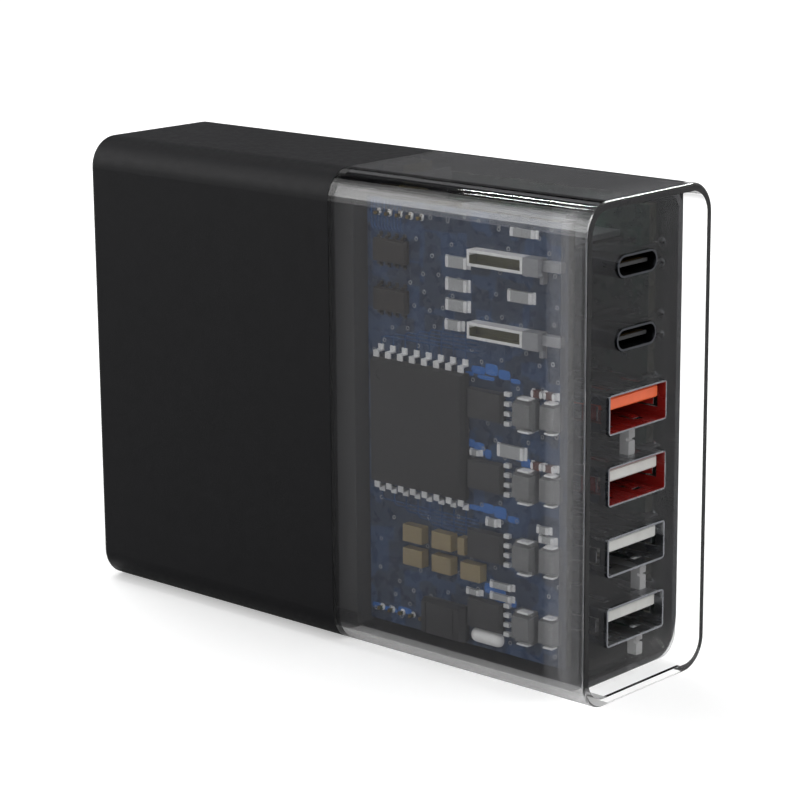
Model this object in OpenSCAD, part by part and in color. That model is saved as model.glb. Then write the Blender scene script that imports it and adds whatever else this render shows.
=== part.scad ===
// Desktop charger with two small oval ports and four wide ports.
// Millimetres. X runs from the mains inlet to the port rim, Y through the thickness, Z up.
// The origin is under the middle of the housing, on the surface it stands on.

/* [Housing] */
// Length from the inlet face to the port rim
body_l = 97; // [90:0.5:130]
// Thickness between the two broad faces
body_t = 28; // [27.5:0.5:40]
// Height of the broad faces
body_h = 70.5; // [69:0.5:100]
// Radius of the four long edges
edge_r = 4.6; // [4:0.1:6]
// Length of the clear front section, from the seam to the rim
front_l = 46.6; // [45:0.1:56]
// Rounding of the edge round the inlet face
rear_edge_r = 1; // [0.6:0.1:1.2]
// Rounding of the rim's outer edge
rim_edge_r = 0.35; // [0.2:0.05:0.5]
// Side wall of the rear housing
rear_wall = 1.7; // [1.5:0.1:1.9]
// End wall of the rear housing
end_wall = 2; // [1.6:0.1:3]
// Wall of the clear sleeve
sleeve_wall = 1.15; // [0.9:0.05:1.3]
// Wall of the smoked liner
liner_wall = 0.9; // [0.7:0.05:1.1]
// Length of the liner that is held in the rear housing
liner_lap = 4; // [2:0.5:6]
// Depth of the port panel behind the rim
panel_recess = 4.15; // [3.5:0.05:5]
// Thickness of the port panel
panel_wall = 1.5; // [1:0.1:2]
// Clearance between parts that slide together
fit_gap = 0.05; // [0.03:0.01:0.1]
// Open line at the seam between the rear housing and the sleeve
seam_gap = 0.1; // [0.05:0.05:0.3]

/* [Ports] */
// Distance between port centres
port_pitch = 10.2; // [9.5:0.1:10.6]
// How far the middle of the port column lies below the housing's middle
stack_drop = 0.87; // [0:0.01:1.5]
// Sideways place of the wide ports
wide_port_y = 2.85; // [2:0.05:3.2]
// Sideways place of the oval ports
oval_port_y = 2.3; // [1.5:0.05:3]
// Width of a wide port's shell
wide_w = 13.2; // [12.8:0.1:13.6]
// Height of a wide port's shell
wide_h = 5.7; // [5.5:0.1:6]
// Length of a wide port's shell
wide_l = 14; // [12:0.5:14]
// Sheet metal of the port shells
shell_t = 0.3; // [0.25:0.05:0.35]
// Width of a wide port's tongue
tongue_w = 11.1; // [10.6:0.1:11.3]
// Thickness of a wide port's tongue
tongue_t = 1.84; // [1.6:0.02:2]
// Height of a wide port's tongue above the shell's middle
tongue_rise = 1.28; // [1.1:0.02:1.4]
// Depth of a wide port's tongue behind its mouth
tongue_setback = 0.9; // [0.5:0.1:1.5]
// Width of an oval port's shell
oval_w = 8.94; // [8.8:0.02:9.1]
// Height of an oval port's shell
oval_h = 3.2; // [3.1:0.02:3.4]
// Length of an oval port's shell
oval_l = 8; // [7:0.5:9]
// Width of an oval port's tongue
oval_tongue_w = 6.69; // [6.5:0.01:6.8]
// Length that the shells stand proud of the panel
shell_proud = 0.25; // [0.1:0.05:0.5]
// Clearance between a shell and its hole in the panel
port_gap = 0.12; // [0.08:0.02:0.2]

/* [Boards] */
// Thickness of the main board
main_board_t = 1.6; // [1.2:0.1:1.6]
// Thickness of the converter board
converter_t = 1.4; // [1:0.1:1.6]
// Room for parts between the liner and the converter board
part_room = 2.7; // [2.6:0.1:4]
// Distance of both boards' long edges from the outer top and bottom
board_margin = 3.9; // [3.6:0.1:5]
// Gap between the port panel and the converter board's edge
board_front_gap = 0.85; // [0.5:0.05:1]
// Gap between the port panel and the main board's edge
main_front_gap = 1.75; // [1:0.05:2.5]
// Wall of the insulation barrier
barrier_wall = 0.8; // [0.6:0.1:1.2]
// Distance of the barrier's front face past the seam
barrier_reach = 3.1; // [2:0.1:3.5]

/* [Controller] */
// Width of the controller module
module_w = 17.4; // [16:0.1:17.6]
// Height of the controller module
module_h = 18.4; // [17:0.1:19]
// Thickness of the controller module
module_t = 1.9; // [1.4:0.1:2]
// Number of leads on each side of the module
module_leads_n = 8; // [6:1:10]
// Distance between module leads
module_pitch = 2.27; // [1.6:0.01:2.27]

/* [Mains side] */
// Distance between the inlet pins
pin_spacing = 8.6; // [8.4:0.1:8.8]
// Diameter of the inlet pins
pin_d = 2.38; // [2.2:0.02:2.6]
// Diameter of each round half of the inlet recess
inlet_bore = 8.2; // [7.8:0.1:8.4]
// Depth of the inlet recess
inlet_depth = 10.5; // [9:0.5:11]
// Diameter of the bulk capacitors
bulk_d = 15; // [13:0.5:15.5]
// Length of the bulk capacitors
bulk_l = 25; // [20:0.5:26]
// Length of the transformer core along the housing
core_l = 22; // [18:0.5:23]
// Height of the transformer core
core_h = 27; // [22:0.5:28]
// Thickness of the transformer core, off the main board
core_t = 17; // [14:0.5:18]
// Outer diameter of the choke ring
choke_d = 16; // [13:0.5:16]

/* [Hidden] */
$fn = 64;
cut = 0.5;

mid_z = body_h / 2;
front_x = body_l / 2;
rear_x = -body_l / 2;
seam_x = front_x - front_l;
panel_front = front_x - panel_recess;
panel_back = panel_front - panel_wall;
liner_out = sleeve_wall + fit_gap;
liner_in = liner_out + liner_wall;
mouth_x = panel_front + shell_proud;

stack_mid = mid_z - stack_drop;
function port_z(i) = stack_mid + (2.5 - i) * port_pitch;
function wide_z(n) = port_z(n + 1);
function oval_z(n) = port_z(n - 1);

main_near = wide_port_y + wide_w / 2 + fit_gap;
main_far = main_near + main_board_t;
main_front = panel_back - main_front_gap;
main_rear = rear_x + end_wall + 0.6;
board_low = board_margin;
board_high = body_h - board_margin;

converter_near = -body_t / 2 + liner_in + part_room;
converter_far = converter_near + converter_t;
converter_front = panel_back - board_front_gap;
barrier_front = seam_x + barrier_reach;
converter_rear = barrier_front + 0.5;

wide_rear = mouth_x - wide_l;
tail_pitch = 1.5;
tail_t = 0.5;
contact_y = [-3.5, -1, 1, 3.5];
contact_t = 0.25;
leg_w = 1.8;
leg_out = 0.5;
leg_x = [3.5, 11];
wide_base_l = 3.5;
oval_rear = mouth_x - oval_l;
oval_leg_x = [2.5, 6.5];
oval_tongue_t = 0.5;
oval_contact_t = 0.1;
oval_base_l = 2;
oval_foot_l = 1.8;

link_pitch = 2;
link_n = 5;
link_x = converter_rear + 2.3;
link_z = [board_high - 2, board_low + 2];
link_pin_t = 0.5;
link_body = 1.8;
pin_hole_d = 0.9;

inlet_y = -1;
inlet_w = 10;
inlet_tip = 1.6;
inlet_flange_t = 1.2;
inlet_back = rear_x + end_wall + 11;
inlet_bend = inlet_back + 1.8;
inlet_wire_d = 1.2;
inlet_wire_r = 0.8;

rear_face_in = rear_x + end_wall;
barrier_rear = barrier_front - barrier_wall;
seat_gap = 0.3;
core_x = barrier_rear - 1.5 - core_l / 2;
core_z = mid_z - 1.5;
core_leg_t = 4;
core_yoke_t = 3;
core_mid_d = 9;
bobbin_t = 1;
bulk_x = barrier_rear - 0.5 - bulk_l / 2;
bulk_z = [core_z + core_h / 2 + 1 + bulk_d / 2, core_z - core_h / 2 - 1 - bulk_d / 2];
bulk_y = main_near - bulk_d / 2 - seat_gap;
choke_x = rear_face_in + choke_d / 2;
choke_z = board_low + choke_d / 2 + 1;
choke_t = 7;
choke_lift = 1.8;
disc_t = 2.8;
disc_z = choke_z + choke_d / 2 + 0.4 + disc_t / 2;
disc_x = rear_face_in + 7.5;
inlet_top = mid_z + (inlet_w + pin_spacing) / 2;
sink_l = 14;
sink_t = 1.5;
sink_flange = 3;
sink_x = rear_face_in + 0.6 + sink_l / 2;
sink_z = inlet_top + 1.8;
fuse_d = 4.6;
film_h = 4;
film_top = body_h - liner_in - 0.4;

// Outline helpers

// A rectangle with round corners, centred
module rounded_rect(w, h, r) {
  square([w - 2 * r, h], center = true);
  square([w, h - 2 * r], center = true);
  for (sy = [-1, 1], sz = [-1, 1])
    translate([sy * (w / 2 - r), sz * (h / 2 - r)]) circle(r);
}

// Extrudes an outline drawn in Y and Z along X
module along_x(x0, x1) {
  translate([x0, 0, 0]) rotate([90, 0, 90]) linear_extrude(x1 - x0) children();
}

// Extrudes an outline drawn in X and Z along Y
module along_y(y0, y1) {
  translate([0, y1, 0]) rotate([90, 0, 0]) linear_extrude(y1 - y0) children();
}

// A box between two corners
module block(low, high) {
  translate(low) cube(high - low);
}

// The housing's cross-section, drawn in from its outside by a wall
module section(inset) {
  translate([0, mid_z]) rounded_rect(body_t - 2 * inset, body_h - 2 * inset, edge_r - inset);
}

// A strip whose starting corners are rounded: w across and l along
module round_start(w, l, r) {
  translate([-w / 2, r]) square([w, l - r]);
  translate([-w / 2 + r, 0]) square([w - 2 * r, l]);
  for (s = [-1, 1]) translate([s * (w / 2 - r), r]) circle(r);
}

// The housing's solid form, with its edge blunted all round where it starts.
// It starts at x and runs l towards the given side, 1 for +X and -1 for -X.
module blunt_form(x, l, r, side) {
  flat_t = body_t - 2 * edge_r;
  flat_h = body_h - 2 * edge_r;
  translate([x, 0, mid_z]) mirror([side < 0 ? 1 : 0, 0, 0]) {
    translate([0, -flat_t / 2, 0]) rotate([0, -90, -90]) linear_extrude(flat_t) round_start(body_h, l, r);
    translate([0, 0, -flat_h / 2]) rotate([0, 0, -90]) linear_extrude(flat_h) round_start(body_t, l, r);
    for (q = [0:3])
      translate([0, (q < 2 ? 1 : -1) * flat_t / 2, (q == 1 || q == 2 ? 1 : -1) * flat_h / 2])
        rotate([90 * q, 0, 0]) rotate([0, 90, 0]) rotate_extrude(angle = 90) {
          square([edge_r - r, l]);
          translate([0, r]) square([edge_r, l - r]);
          translate([edge_r - r, r]) circle(r);
        }
  }
}

// A moulded package with drafted sides, seated on the converter board at x, z
module package(x, z, w, h, t, lift = 0.1, draft = 0.2) {
  y1 = converter_near - lift;
  y0 = y1 - t;
  intersection() {
    translate([0, 0, z - h / 2]) linear_extrude(h)
      polygon([[x - w / 2, y1 - t / 2], [x - w / 2 + draft, y0], [x + w / 2 - draft, y0],
        [x + w / 2, y1 - t / 2], [x + w / 2 - draft / 2, y1], [x - w / 2 + draft / 2, y1]]);
    along_x(x - w / 2, x + w / 2)
      polygon([[y1 - t / 2, z - h / 2], [y0, z - h / 2 + draft], [y0, z + h / 2 - draft],
        [y1 - t / 2, z + h / 2], [y1, z + h / 2 - draft / 2], [y1, z - h / 2 + draft / 2]]);
  }
}

// A bent lead from a package's side to the converter board; side is 1 upwards and -1 downwards
module gull_lead(x, z, side, w, rise, reach, t = 0.2) {
  foot = reach * 0.45;
  along_x(x - w / 2, x + w / 2)
    polygon([for (p = [[-rise, 0], [-rise, reach - foot], [-t, reach - foot], [-t, reach],
        [0, reach], [0, reach - foot - t], [-rise + t, reach - foot - t], [-rise + t, 0]])
      [converter_near + p[0], z + side * p[1]]]);
}

// A chip component seated on the converter board
module near_chip(x, z, w, h, t) {
  block([x - w / 2, converter_near - t, z - h / 2], [x + w / 2, converter_near, z + h / 2]);
}

// Housing

module rear_housing() {
  color("#26262a") difference() {
    blunt_form(rear_x, seam_x - seam_gap - rear_x, rear_edge_r, 1);
    difference() {
      along_x(rear_face_in, seam_x + cut) section(rear_wall);
      board_rails();
    }
    along_x(seam_x - liner_lap - seam_gap, seam_x + cut) section(liner_out - fit_gap / 2);
    inlet_hole(rear_x - cut, rear_face_in + cut, 0.1);
  }
}

// Two grooved rails that hold the main board's long edges
module board_rails() {
  for (side = [-1, 1]) {
    z_wall = mid_z + side * body_h / 2;
    z_tip = mid_z + side * (body_h / 2 - board_margin - 1.2);
    z_edge = mid_z + side * (body_h / 2 - board_margin + 0.1);
    difference() {
      block([rear_face_in, main_near - 1.1, min(z_wall, z_tip)],
        [seam_x - liner_lap - 1, body_t / 2, max(z_wall, z_tip)]);
      block([rear_face_in - cut, main_near - 0.1, min(z_edge, z_tip) - (side > 0 ? cut : 0)],
        [seam_x, main_far + 0.1, max(z_edge, z_tip) + (side < 0 ? cut : 0)]);
    }
  }
}

module front_sleeve() {
  color("#dfe6ea", 0.35) difference() {
    blunt_form(front_x, front_l, rim_edge_r, -1);
    along_x(seam_x - cut, front_x + cut) section(sleeve_wall);
  }
}

module smoked_liner() {
  color("#303033", 0.5) along_x(seam_x - liner_lap, panel_front) difference() {
    section(liner_out);
    section(liner_in);
  }
}

module port_panel() {
  color("#2a2a2d", 0.6) along_x(panel_back, panel_front) difference() {
    section(liner_in + fit_gap);
    for (n = [1:4])
      translate([wide_port_y, wide_z(n)])
        rounded_rect(wide_w + 2 * port_gap, wide_h + 2 * port_gap, 0.7);
    for (n = [1:2])
      translate([oval_port_y, oval_z(n)])
        rounded_rect(oval_w + 2 * port_gap, oval_h + 2 * port_gap, oval_h / 2 + port_gap - 0.02);
  }
}

module insulation_barrier() {
  near = -body_t / 2 + liner_in + 0.25;
  low = liner_in + 0.4;
  high = body_h - liner_in - 0.4;
  corner = edge_r - liner_in;
  color("#1d1d1f") {
    block([rear_face_in + 14, near, low + corner], [barrier_front, near + barrier_wall, high - corner]);
    block([barrier_front - barrier_wall, near + barrier_wall, low + 0.6],
      [barrier_front, main_near - 0.2, high - 0.6]);
  }
}

// Mains inlet

module inlet_hole(x0, x1, gap) {
  along_x(x0, x1) translate([inlet_y, mid_z])
    rounded_rect(inlet_w + 2 * gap, inlet_w + pin_spacing + 2 * gap, inlet_w / 2 + gap - 0.02);
}

module inlet_body() {
  color("#1a1a1c") difference() {
    union() {
      inlet_hole(rear_x, inlet_back, 0);
      along_x(rear_face_in + 0.05, rear_face_in + inlet_flange_t) translate([inlet_y, mid_z])
        square([inlet_w + 3, inlet_w + pin_spacing + 3], center = true);
    }
    along_x(rear_x - cut, rear_x + inlet_depth) translate([inlet_y, mid_z]) {
      for (s = [-1, 1]) translate([0, s * pin_spacing / 2]) circle(d = inlet_bore);
      square([inlet_bore * 0.74, pin_spacing], center = true);
    }
    for (s = [-1, 1])
      translate([rear_x, inlet_y, mid_z + s * pin_spacing / 2]) rotate([0, 90, 0])
        cylinder(d = pin_d, h = inlet_back - rear_x + cut);
  }
}

module inlet_pins() {
  tip = 0.5;
  color("#c9ccd0") for (s = [-1, 1])
    translate([rear_x + inlet_tip, inlet_y, mid_z + s * pin_spacing / 2]) rotate([0, 90, 0]) {
      cylinder(d1 = pin_d - 2 * tip, d2 = pin_d, h = tip);
      translate([0, 0, tip]) cylinder(d = pin_d, h = inlet_back - rear_x - inlet_tip - tip);
    }
}

// Bent wires from the inlet pins to the main board
module inlet_leads() {
  straight = inlet_bend - inlet_wire_r - inlet_back;
  bend_y = inlet_y + inlet_wire_r;
  color("#b87333") for (s = [-1, 1]) translate([0, 0, mid_z + s * pin_spacing / 2]) {
    translate([inlet_back, inlet_y, 0]) rotate([0, 90, 0]) cylinder(d = inlet_wire_d, h = straight);
    translate([inlet_bend - inlet_wire_r, bend_y, 0]) rotate([0, 0, -90])
      rotate_extrude(angle = 90) translate([inlet_wire_r, 0]) circle(d = inlet_wire_d);
    translate([inlet_bend, bend_y, 0]) rotate([-90, 0, 0])
      cylinder(d = inlet_wire_d, h = main_far + leg_out - bend_y);
  }
}

// Boards

module main_board() {
  slot = 0.25;
  color("#1f3d66") along_y(main_near, main_far) difference() {
    translate([(main_rear + main_front) / 2, mid_z])
      square([main_front - main_rear, board_high - board_low], center = true);
    for (n = [1:4], x = leg_x, s = [-1, 1])
      translate([mouth_x - x, wide_z(n) + s * (wide_h - shell_t) / 2])
        square([leg_w + 2 * slot, shell_t + 2 * slot], center = true);
    for (n = [1:2], x = oval_leg_x, s = [-1, 1])
      translate([mouth_x - x, oval_z(n) + s * (oval_h - shell_t) / 2])
        square([leg_w / 2 + 2 * slot, shell_t + 2 * slot], center = true);
    for (z = link_z, i = [0:link_n - 1])
      translate([link_x + i * link_pitch, z]) circle(d = pin_hole_d);
    for (s = [-1, 1]) translate([inlet_bend, mid_z + s * pin_spacing / 2]) circle(d = inlet_wire_d + 0.2);
    for (n = [1:4], i = [0:3])
      translate([wide_rear - (i + 0.5) * tail_pitch, wide_z(n) + tongue_rise - tongue_t / 2])
        circle(d = pin_hole_d);
  }
}

module converter_board() {
  color("#2748a0") along_y(converter_near, converter_far) difference() {
    translate([(converter_rear + converter_front) / 2, mid_z])
      square([converter_front - converter_rear, board_high - board_low], center = true);
    for (z = link_z, i = [0:link_n - 1])
      translate([link_x + i * link_pitch, z]) circle(d = pin_hole_d);
  }
}

// Plastic strips that the link pins are moulded into, on the converter board's far face
module link_headers() {
  color("#18181a") for (z = link_z)
    difference() {
      block([link_x - link_pitch / 2, converter_far, z - link_body / 2],
        [link_x + (link_n - 0.5) * link_pitch, converter_far + link_body, z + link_body / 2]);
      for (i = [0:link_n - 1])
        block([link_x + i * link_pitch - link_pin_t / 2, converter_far - cut, z - link_pin_t / 2],
          [link_x + i * link_pitch + link_pin_t / 2, converter_far + link_body + cut, z + link_pin_t / 2]);
    }
}

module link_pins() {
  color("#d8c27a") for (z = link_z, i = [0:link_n - 1])
    block([link_x + i * link_pitch - link_pin_t / 2, converter_near - 0.9, z - link_pin_t / 2],
      [link_x + i * link_pitch + link_pin_t / 2, main_far + leg_out, z + link_pin_t / 2]);
}

// Wide ports

module shell_slot(x, l, w) {
  translate([mouth_x - x - l / 2, 0]) square([l, w], center = true);
}

// A spring leaf that bows into the shell from the back of its slot, drawn in X and depth
module leaf_outline(x, l) {
  back = mouth_x - x - l - 0.2;
  polygon([[back, 0], [back + 0.4, 0], [back + l * 0.62, -0.3], [back + l * 0.88, -0.1],
    [back + l * 0.88, 0.1], [back + l * 0.62, -0.22], [back + 0.5, 0.23], [back, 0.23]]);
}

module usb_a_shell(n) {
  flat_y = [-3.4, 3.4];
  color("#b8bcc2") translate([0, wide_port_y, wide_z(n)]) {
    difference() {
      along_x(wide_rear, mouth_x) difference() {
        rounded_rect(wide_w, wide_h, 0.6);
        square([wide_w - 2 * shell_t, wide_h - 2 * shell_t], center = true);
      }
      for (y = flat_y) translate([0, y, -wide_h / 2 - cut]) linear_extrude(wide_h + 2 * cut)
        shell_slot(2.2, 5.4, 1.9);
      along_y(-wide_w / 2 - cut, wide_w / 2 + cut) shell_slot(1.4, 4.6, 2.6);
    }
    for (y = flat_y, s = [-1, 1])
      translate([0, y + 0.7, s * (wide_h / 2 - 0.265)]) rotate([s * 90, 0, 0])
        translate([0, 0, s > 0 ? 0 : -1.4]) linear_extrude(1.4) leaf_outline(2.2, 5.4);
    for (s = [-1, 1])
      translate([0, s * (wide_w / 2 - 0.265), -1]) mirror([0, s > 0 ? 0 : 1, 0])
        linear_extrude(2) leaf_outline(1.4, 4.6);
    for (x = leg_x, s = [-1, 1])
      translate([mouth_x - x - leg_w / 2, wide_w / 2 - 1, s * (wide_h - shell_t) / 2 - shell_t / 2])
        cube([leg_w, main_far + leg_out - wide_port_y - wide_w / 2 + 1, shell_t]);
  }
}

module usb_a_tongue(n) {
  tint = n == 1 ? "#f26a38" : "#e8e8e6";
  base_w = wide_w - 2 * shell_t - 2 * fit_gap;
  base_h = wide_h - 2 * shell_t - 2 * fit_gap;
  under = tongue_rise - tongue_t / 2;
  nose = mouth_x - tongue_setback;
  bevel = 0.25;
  color(tint) translate([0, wide_port_y, wide_z(n)]) difference() {
    union() {
      along_x(wide_rear + 0.2, wide_rear + wide_base_l) square([base_w, base_h], center = true);
      along_y(-tongue_w / 2, tongue_w / 2)
        polygon([[wide_rear + wide_base_l - 0.1, under], [nose - bevel, under], [nose, under + bevel],
          [nose, under + tongue_t - bevel], [nose - bevel, under + tongue_t],
          [wide_rear + wide_base_l - 0.1, under + tongue_t]]);
    }
    for (y = contact_y)
      block([wide_rear - cut, y - 0.5, under - 0.01], [nose - 1.2, y + 0.5, under + contact_t]);
  }
}

// Four flat contacts under the tongue, with tails that turn down to the main board
module usb_a_contacts(n) {
  under = tongue_rise - tongue_t / 2;
  color("#d9b45a") translate([0, 0, wide_z(n) + under]) for (i = [0:3]) {
    y = wide_port_y + contact_y[i];
    tail_x = wide_rear - (3.5 - i) * tail_pitch;
    block([tail_x - tail_t / 2, y - 0.45, 0.02], [mouth_x - tongue_setback - 1.4, y + 0.45, contact_t]);
    block([tail_x - tail_t / 2, y - 0.45, -0.12], [tail_x + tail_t / 2, main_far + leg_out, contact_t]);
  }
}

// Oval ports

module usb_c_shell(n) {
  inner_w = oval_w - 2 * shell_t;
  inner_h = oval_h - 2 * shell_t;
  color("#b8bcc2") translate([0, oval_port_y, oval_z(n)]) {
    along_x(oval_rear, mouth_x) difference() {
      rounded_rect(oval_w, oval_h, oval_h / 2 - 0.02);
      rounded_rect(inner_w, inner_h, inner_h / 2 - 0.02);
    }
    for (x = oval_leg_x, s = [-1, 1])
      translate([mouth_x - x - leg_w / 4, oval_w / 2 - oval_h / 2, s * (oval_h - shell_t) / 2 - shell_t / 2])
        cube([leg_w / 2, main_far + leg_out - oval_port_y - oval_w / 2 + oval_h / 2, shell_t]);
  }
}

module usb_c_tongue(n) {
  inner_w = oval_w - 2 * shell_t - 2 * fit_gap;
  inner_h = oval_h - 2 * shell_t - 2 * fit_gap;
  color("#1b1b1d") translate([0, oval_port_y, oval_z(n)]) {
    along_x(oval_rear - 0.1, oval_rear + oval_base_l) rounded_rect(inner_w, inner_h, inner_h / 2 - 0.02);
    block([oval_rear, -oval_tongue_w / 2, -oval_tongue_t / 2],
      [mouth_x - tongue_setback, oval_tongue_w / 2, oval_tongue_t / 2]);
    block([oval_rear - oval_foot_l, -oval_w / 2, -oval_h / 2],
      [oval_rear - fit_gap, main_near - oval_port_y, oval_h / 2]);
  }
}

module usb_c_contacts(n) {
  color("#d9b45a") translate([0, oval_port_y, oval_z(n)]) for (i = [0:11], s = [-1, 1])
    translate([0, (i - 5.5) * 0.5, s * (oval_tongue_t + oval_contact_t) / 2])
      block([oval_rear + oval_base_l + 0.1, -0.13, -oval_contact_t / 2],
        [mouth_x - tongue_setback - 0.4, 0.13, oval_contact_t / 2]);
}

// Parts on the converter board

function from_front(d) = converter_front - d;
controller_x = from_front(25.9);
controller_z = stack_mid + 0.2;
port_chip_x = from_front(13.9);
port_chip_w = 6.2;
port_chip_h = 4.4;

module controller_body() {
  color("#2c2c2e") difference() {
    package(controller_x, controller_z, module_w, module_h, module_t, lift = 0.2, draft = 0.3);
    translate([controller_x - module_w / 2 + 2.2, converter_near - module_t - 0.2 + 0.15,
      controller_z + module_h / 2 - 2.2]) rotate([90, 0, 0]) cylinder(d = 1.6, h = 1);
  }
}

module controller_leads() {
  color("#c6c9cc") for (i = [0:module_leads_n - 1], s = [-1, 1])
    gull_lead(controller_x - 0.1 + (i - (module_leads_n - 1) / 2) * module_pitch,
      controller_z + s * (module_h / 2 + 0.02), s, 1, 1.25, 1.7);
}

// Two small driver chips, each moulded round leads that come out at its long sides
module driver_chips() {
  color("#3a332e") for (dz = [24.1, 17]) {
    z = mid_z + dz;
    x = from_front(31.5);
    package(x, z, 6.2, 3.4, 1.1);
    for (i = [0:3], s = [-1, 1]) gull_lead(x + (i - 1.5) * 1.5, z + s * 1.6, s, 0.5, 0.75, 0.9);
  }
}

module port_chips() {
  color("#4a4a4c") for (n = [1:4])
    package(port_chip_x, wide_z(n) + 0.2, port_chip_w, port_chip_h, 1.2, lift = 0);
}

// A column of four leads beside each port chip
module port_chip_leads() {
  color("#c6c9cc") for (n = [1:4], i = [0:3])
    near_chip(port_chip_x + port_chip_w / 2 + 0.6, wide_z(n) + 0.2 + (i - 1.5) * 1.4, 1, 0.6, 0.6);
}

// Metal-cased chokes, each with two plated ends
module filter_chokes() {
  color("#9a9c9f") for (n = [1:4]) {
    package(from_front(6.4), wide_z(n) + 0.2, 3.5, 3.7, 2.2, lift = 0, draft = 0.25);
    for (s = [-1, 1]) near_chip(from_front(6.4), wide_z(n) + 0.2 + s * 2.05, 3, 0.5, 1.4);
  }
}

module polymer_capacitors() {
  color("#a6a8ab") for (n = [1:4]) {
    package(from_front(2), wide_z(n) + 0.4, 2.8, 3.5, 2, lift = 0, draft = 0.15);
    for (s = [-1, 1]) near_chip(from_front(2), wide_z(n) + 0.4 + s * 1.9, 2, 0.4, 0.9);
  }
}

// Two rows of ceramic capacitors; the last of the upper row is a narrow one beside a port chip
module tan_capacitors() {
  color("#a08a62") {
    for (dz = [-16.6, -20.1], d = [27, 21.5]) near_chip(from_front(d), mid_z + dz, 3.6, 2.5, 1.5);
    near_chip(from_front(16.1), mid_z - 20.1, 3.6, 2.5, 1.5);
    near_chip(port_chip_x - port_chip_w / 2 - 0.8, mid_z - 16.6, 1.2, 2.5, 1.5);
  }
}

// Red-brown capacitors above the polymer ones
module ceramic_capacitors() {
  color("#7a3a30") for (n = [1:2], s = [-1, 1])
    near_chip(from_front(3.7 + s * 1.1), wide_z(n) + 3.2, 1.9, 1, 0.8);
}

// Chip resistors and small capacitors: distance behind the board's front edge, height, width, tallness
near_smd = [[19.4, 23.9, 3.8, 1.6], [19.4, 20.7, 3.8, 1.7], [19.4, 17.8, 3.8, 1.6], [20, 14.9, 2.9, 1.4],
  [8, 20.5, 4.2, 1.6], [7.6, 29.3, 4.2, 1], [9.6, -1.6, 4.6, 1.8], [16.1, -2.8, 1.6, 0.8],
  [11.3, -21.4, 3.8, 0.9], [11.3, -23.1, 3.8, 0.9], [16.4, -23.3, 2.4, 0.8], [3.8, -11.8, 2, 1],
  [3.1, -13.1, 2.6, 1], [13, -12.4, 2, 1.1]];

module chip_resistors() {
  color("#a9acb0") for (p = near_smd) near_chip(from_front(p[0]), mid_z + p[1], p[2], p[3], 0.6);
}

// Folded silver output bars beside the oval ports
module output_bars() {
  bar_h = 2.3;
  color("#d5d8db") for (n = [1:2])
    translate([0, 0, oval_z(n) + 0.6]) difference() {
      block([from_front(16.2), converter_near - 2, -bar_h / 2], [from_front(6.4), converter_near, bar_h / 2]);
      block([from_front(16.2) + 0.4, converter_near - 2 - cut, -bar_h / 2 + 0.4],
        [from_front(6.4) - 0.4, converter_near - 0.4, bar_h / 2 - 0.4]);
    }
}

module bar_clamps() {
  color("#8d9094") for (n = [1:2]) translate([0, 0, oval_z(n) + 0.6]) {
    block([from_front(6.3), converter_near - 2, -1.3], [from_front(3.6), converter_near, 1.2]);
    block([from_front(3.5), converter_near - 1.2, -0.5], [from_front(0.5), converter_near, 0.9]);
    block([from_front(3.6) - 0.6, converter_near - 0.9, -2.4], [from_front(3.6), converter_near, -1.3]);
  }
}

module boost_inductor() {
  w = 7.8;
  t = 2.2;
  x = port_chip_x - port_chip_w / 2 - 0.3 - w / 2;
  z = board_low + 3.1;
  color("#333336") difference() {
    package(x, z, w, 5.4, t, lift = 0, draft = 0.4);
    for (s = [-1, 1])
      translate([x + s * 2.6 - 0.2, converter_near - t - cut, z - 3]) cube([0.4, cut + 0.15, 6]);
  }
}

// A bead of white silicone that holds the lowest port chip's parts
module fixing_bead() {
  r = 1.1;
  l = 5.8;
  color("#f0f0ec") intersection() {
    translate([port_chip_x - l / 2, converter_near, wide_z(4) - 3.2]) rotate([0, 90, 0]) rotate_extrude() {
      intersection() {
        union() {
          translate([0, r]) circle(r);
          translate([0, l - r]) circle(r);
          translate([0, r]) square([r, l - 2 * r]);
        }
        square([2 * r, l]);
      }
    }
    block([port_chip_x - l, converter_near - 2 * r, 0], [port_chip_x + l, converter_near, body_h]);
  }
}

// Parts on the main board, between the boards

// A folded aluminium sheet that stands on the main board and spreads the rectifiers' heat
module heat_spreader() {
  sheet = 0.8;
  flange = 3.4;
  low = oval_z(1) + oval_h / 2 + 0.3;
  high = board_high - 0.2;
  y0 = main_near - 12.5;
  color("#c3c7cb") along_x(from_front(24), from_front(6))
    polygon([[main_near, low], [main_near, low + sheet], [y0 + sheet, low + sheet],
      [y0 + sheet, high - sheet], [y0 + flange, high - sheet], [y0 + flange, high], [y0, high], [y0, low]]);
}

module can(x, z, d, l) {
  translate([x, main_near, z]) rotate([90, 0, 0]) {
    cylinder(d = d, h = l - 0.4);
    cylinder(d = d - 0.8, h = l);
  }
}

module output_capacitors() {
  color("#b4b7bb") for (z = [mid_z + 13, mid_z + 3.5, mid_z - 6, mid_z - 15.5])
    can(converter_rear + 6, z, 8, 12);
}

// A yellow box behind the barrier, close under the top wall, where the clear part's end shows it
module film_capacitor() {
  x0 = seam_x - liner_lap - 0.7;
  color("#c9a227") block([x0, main_near - 6.5, film_top - film_h], [x0 + 3.8, main_near, film_top]);
}

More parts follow.
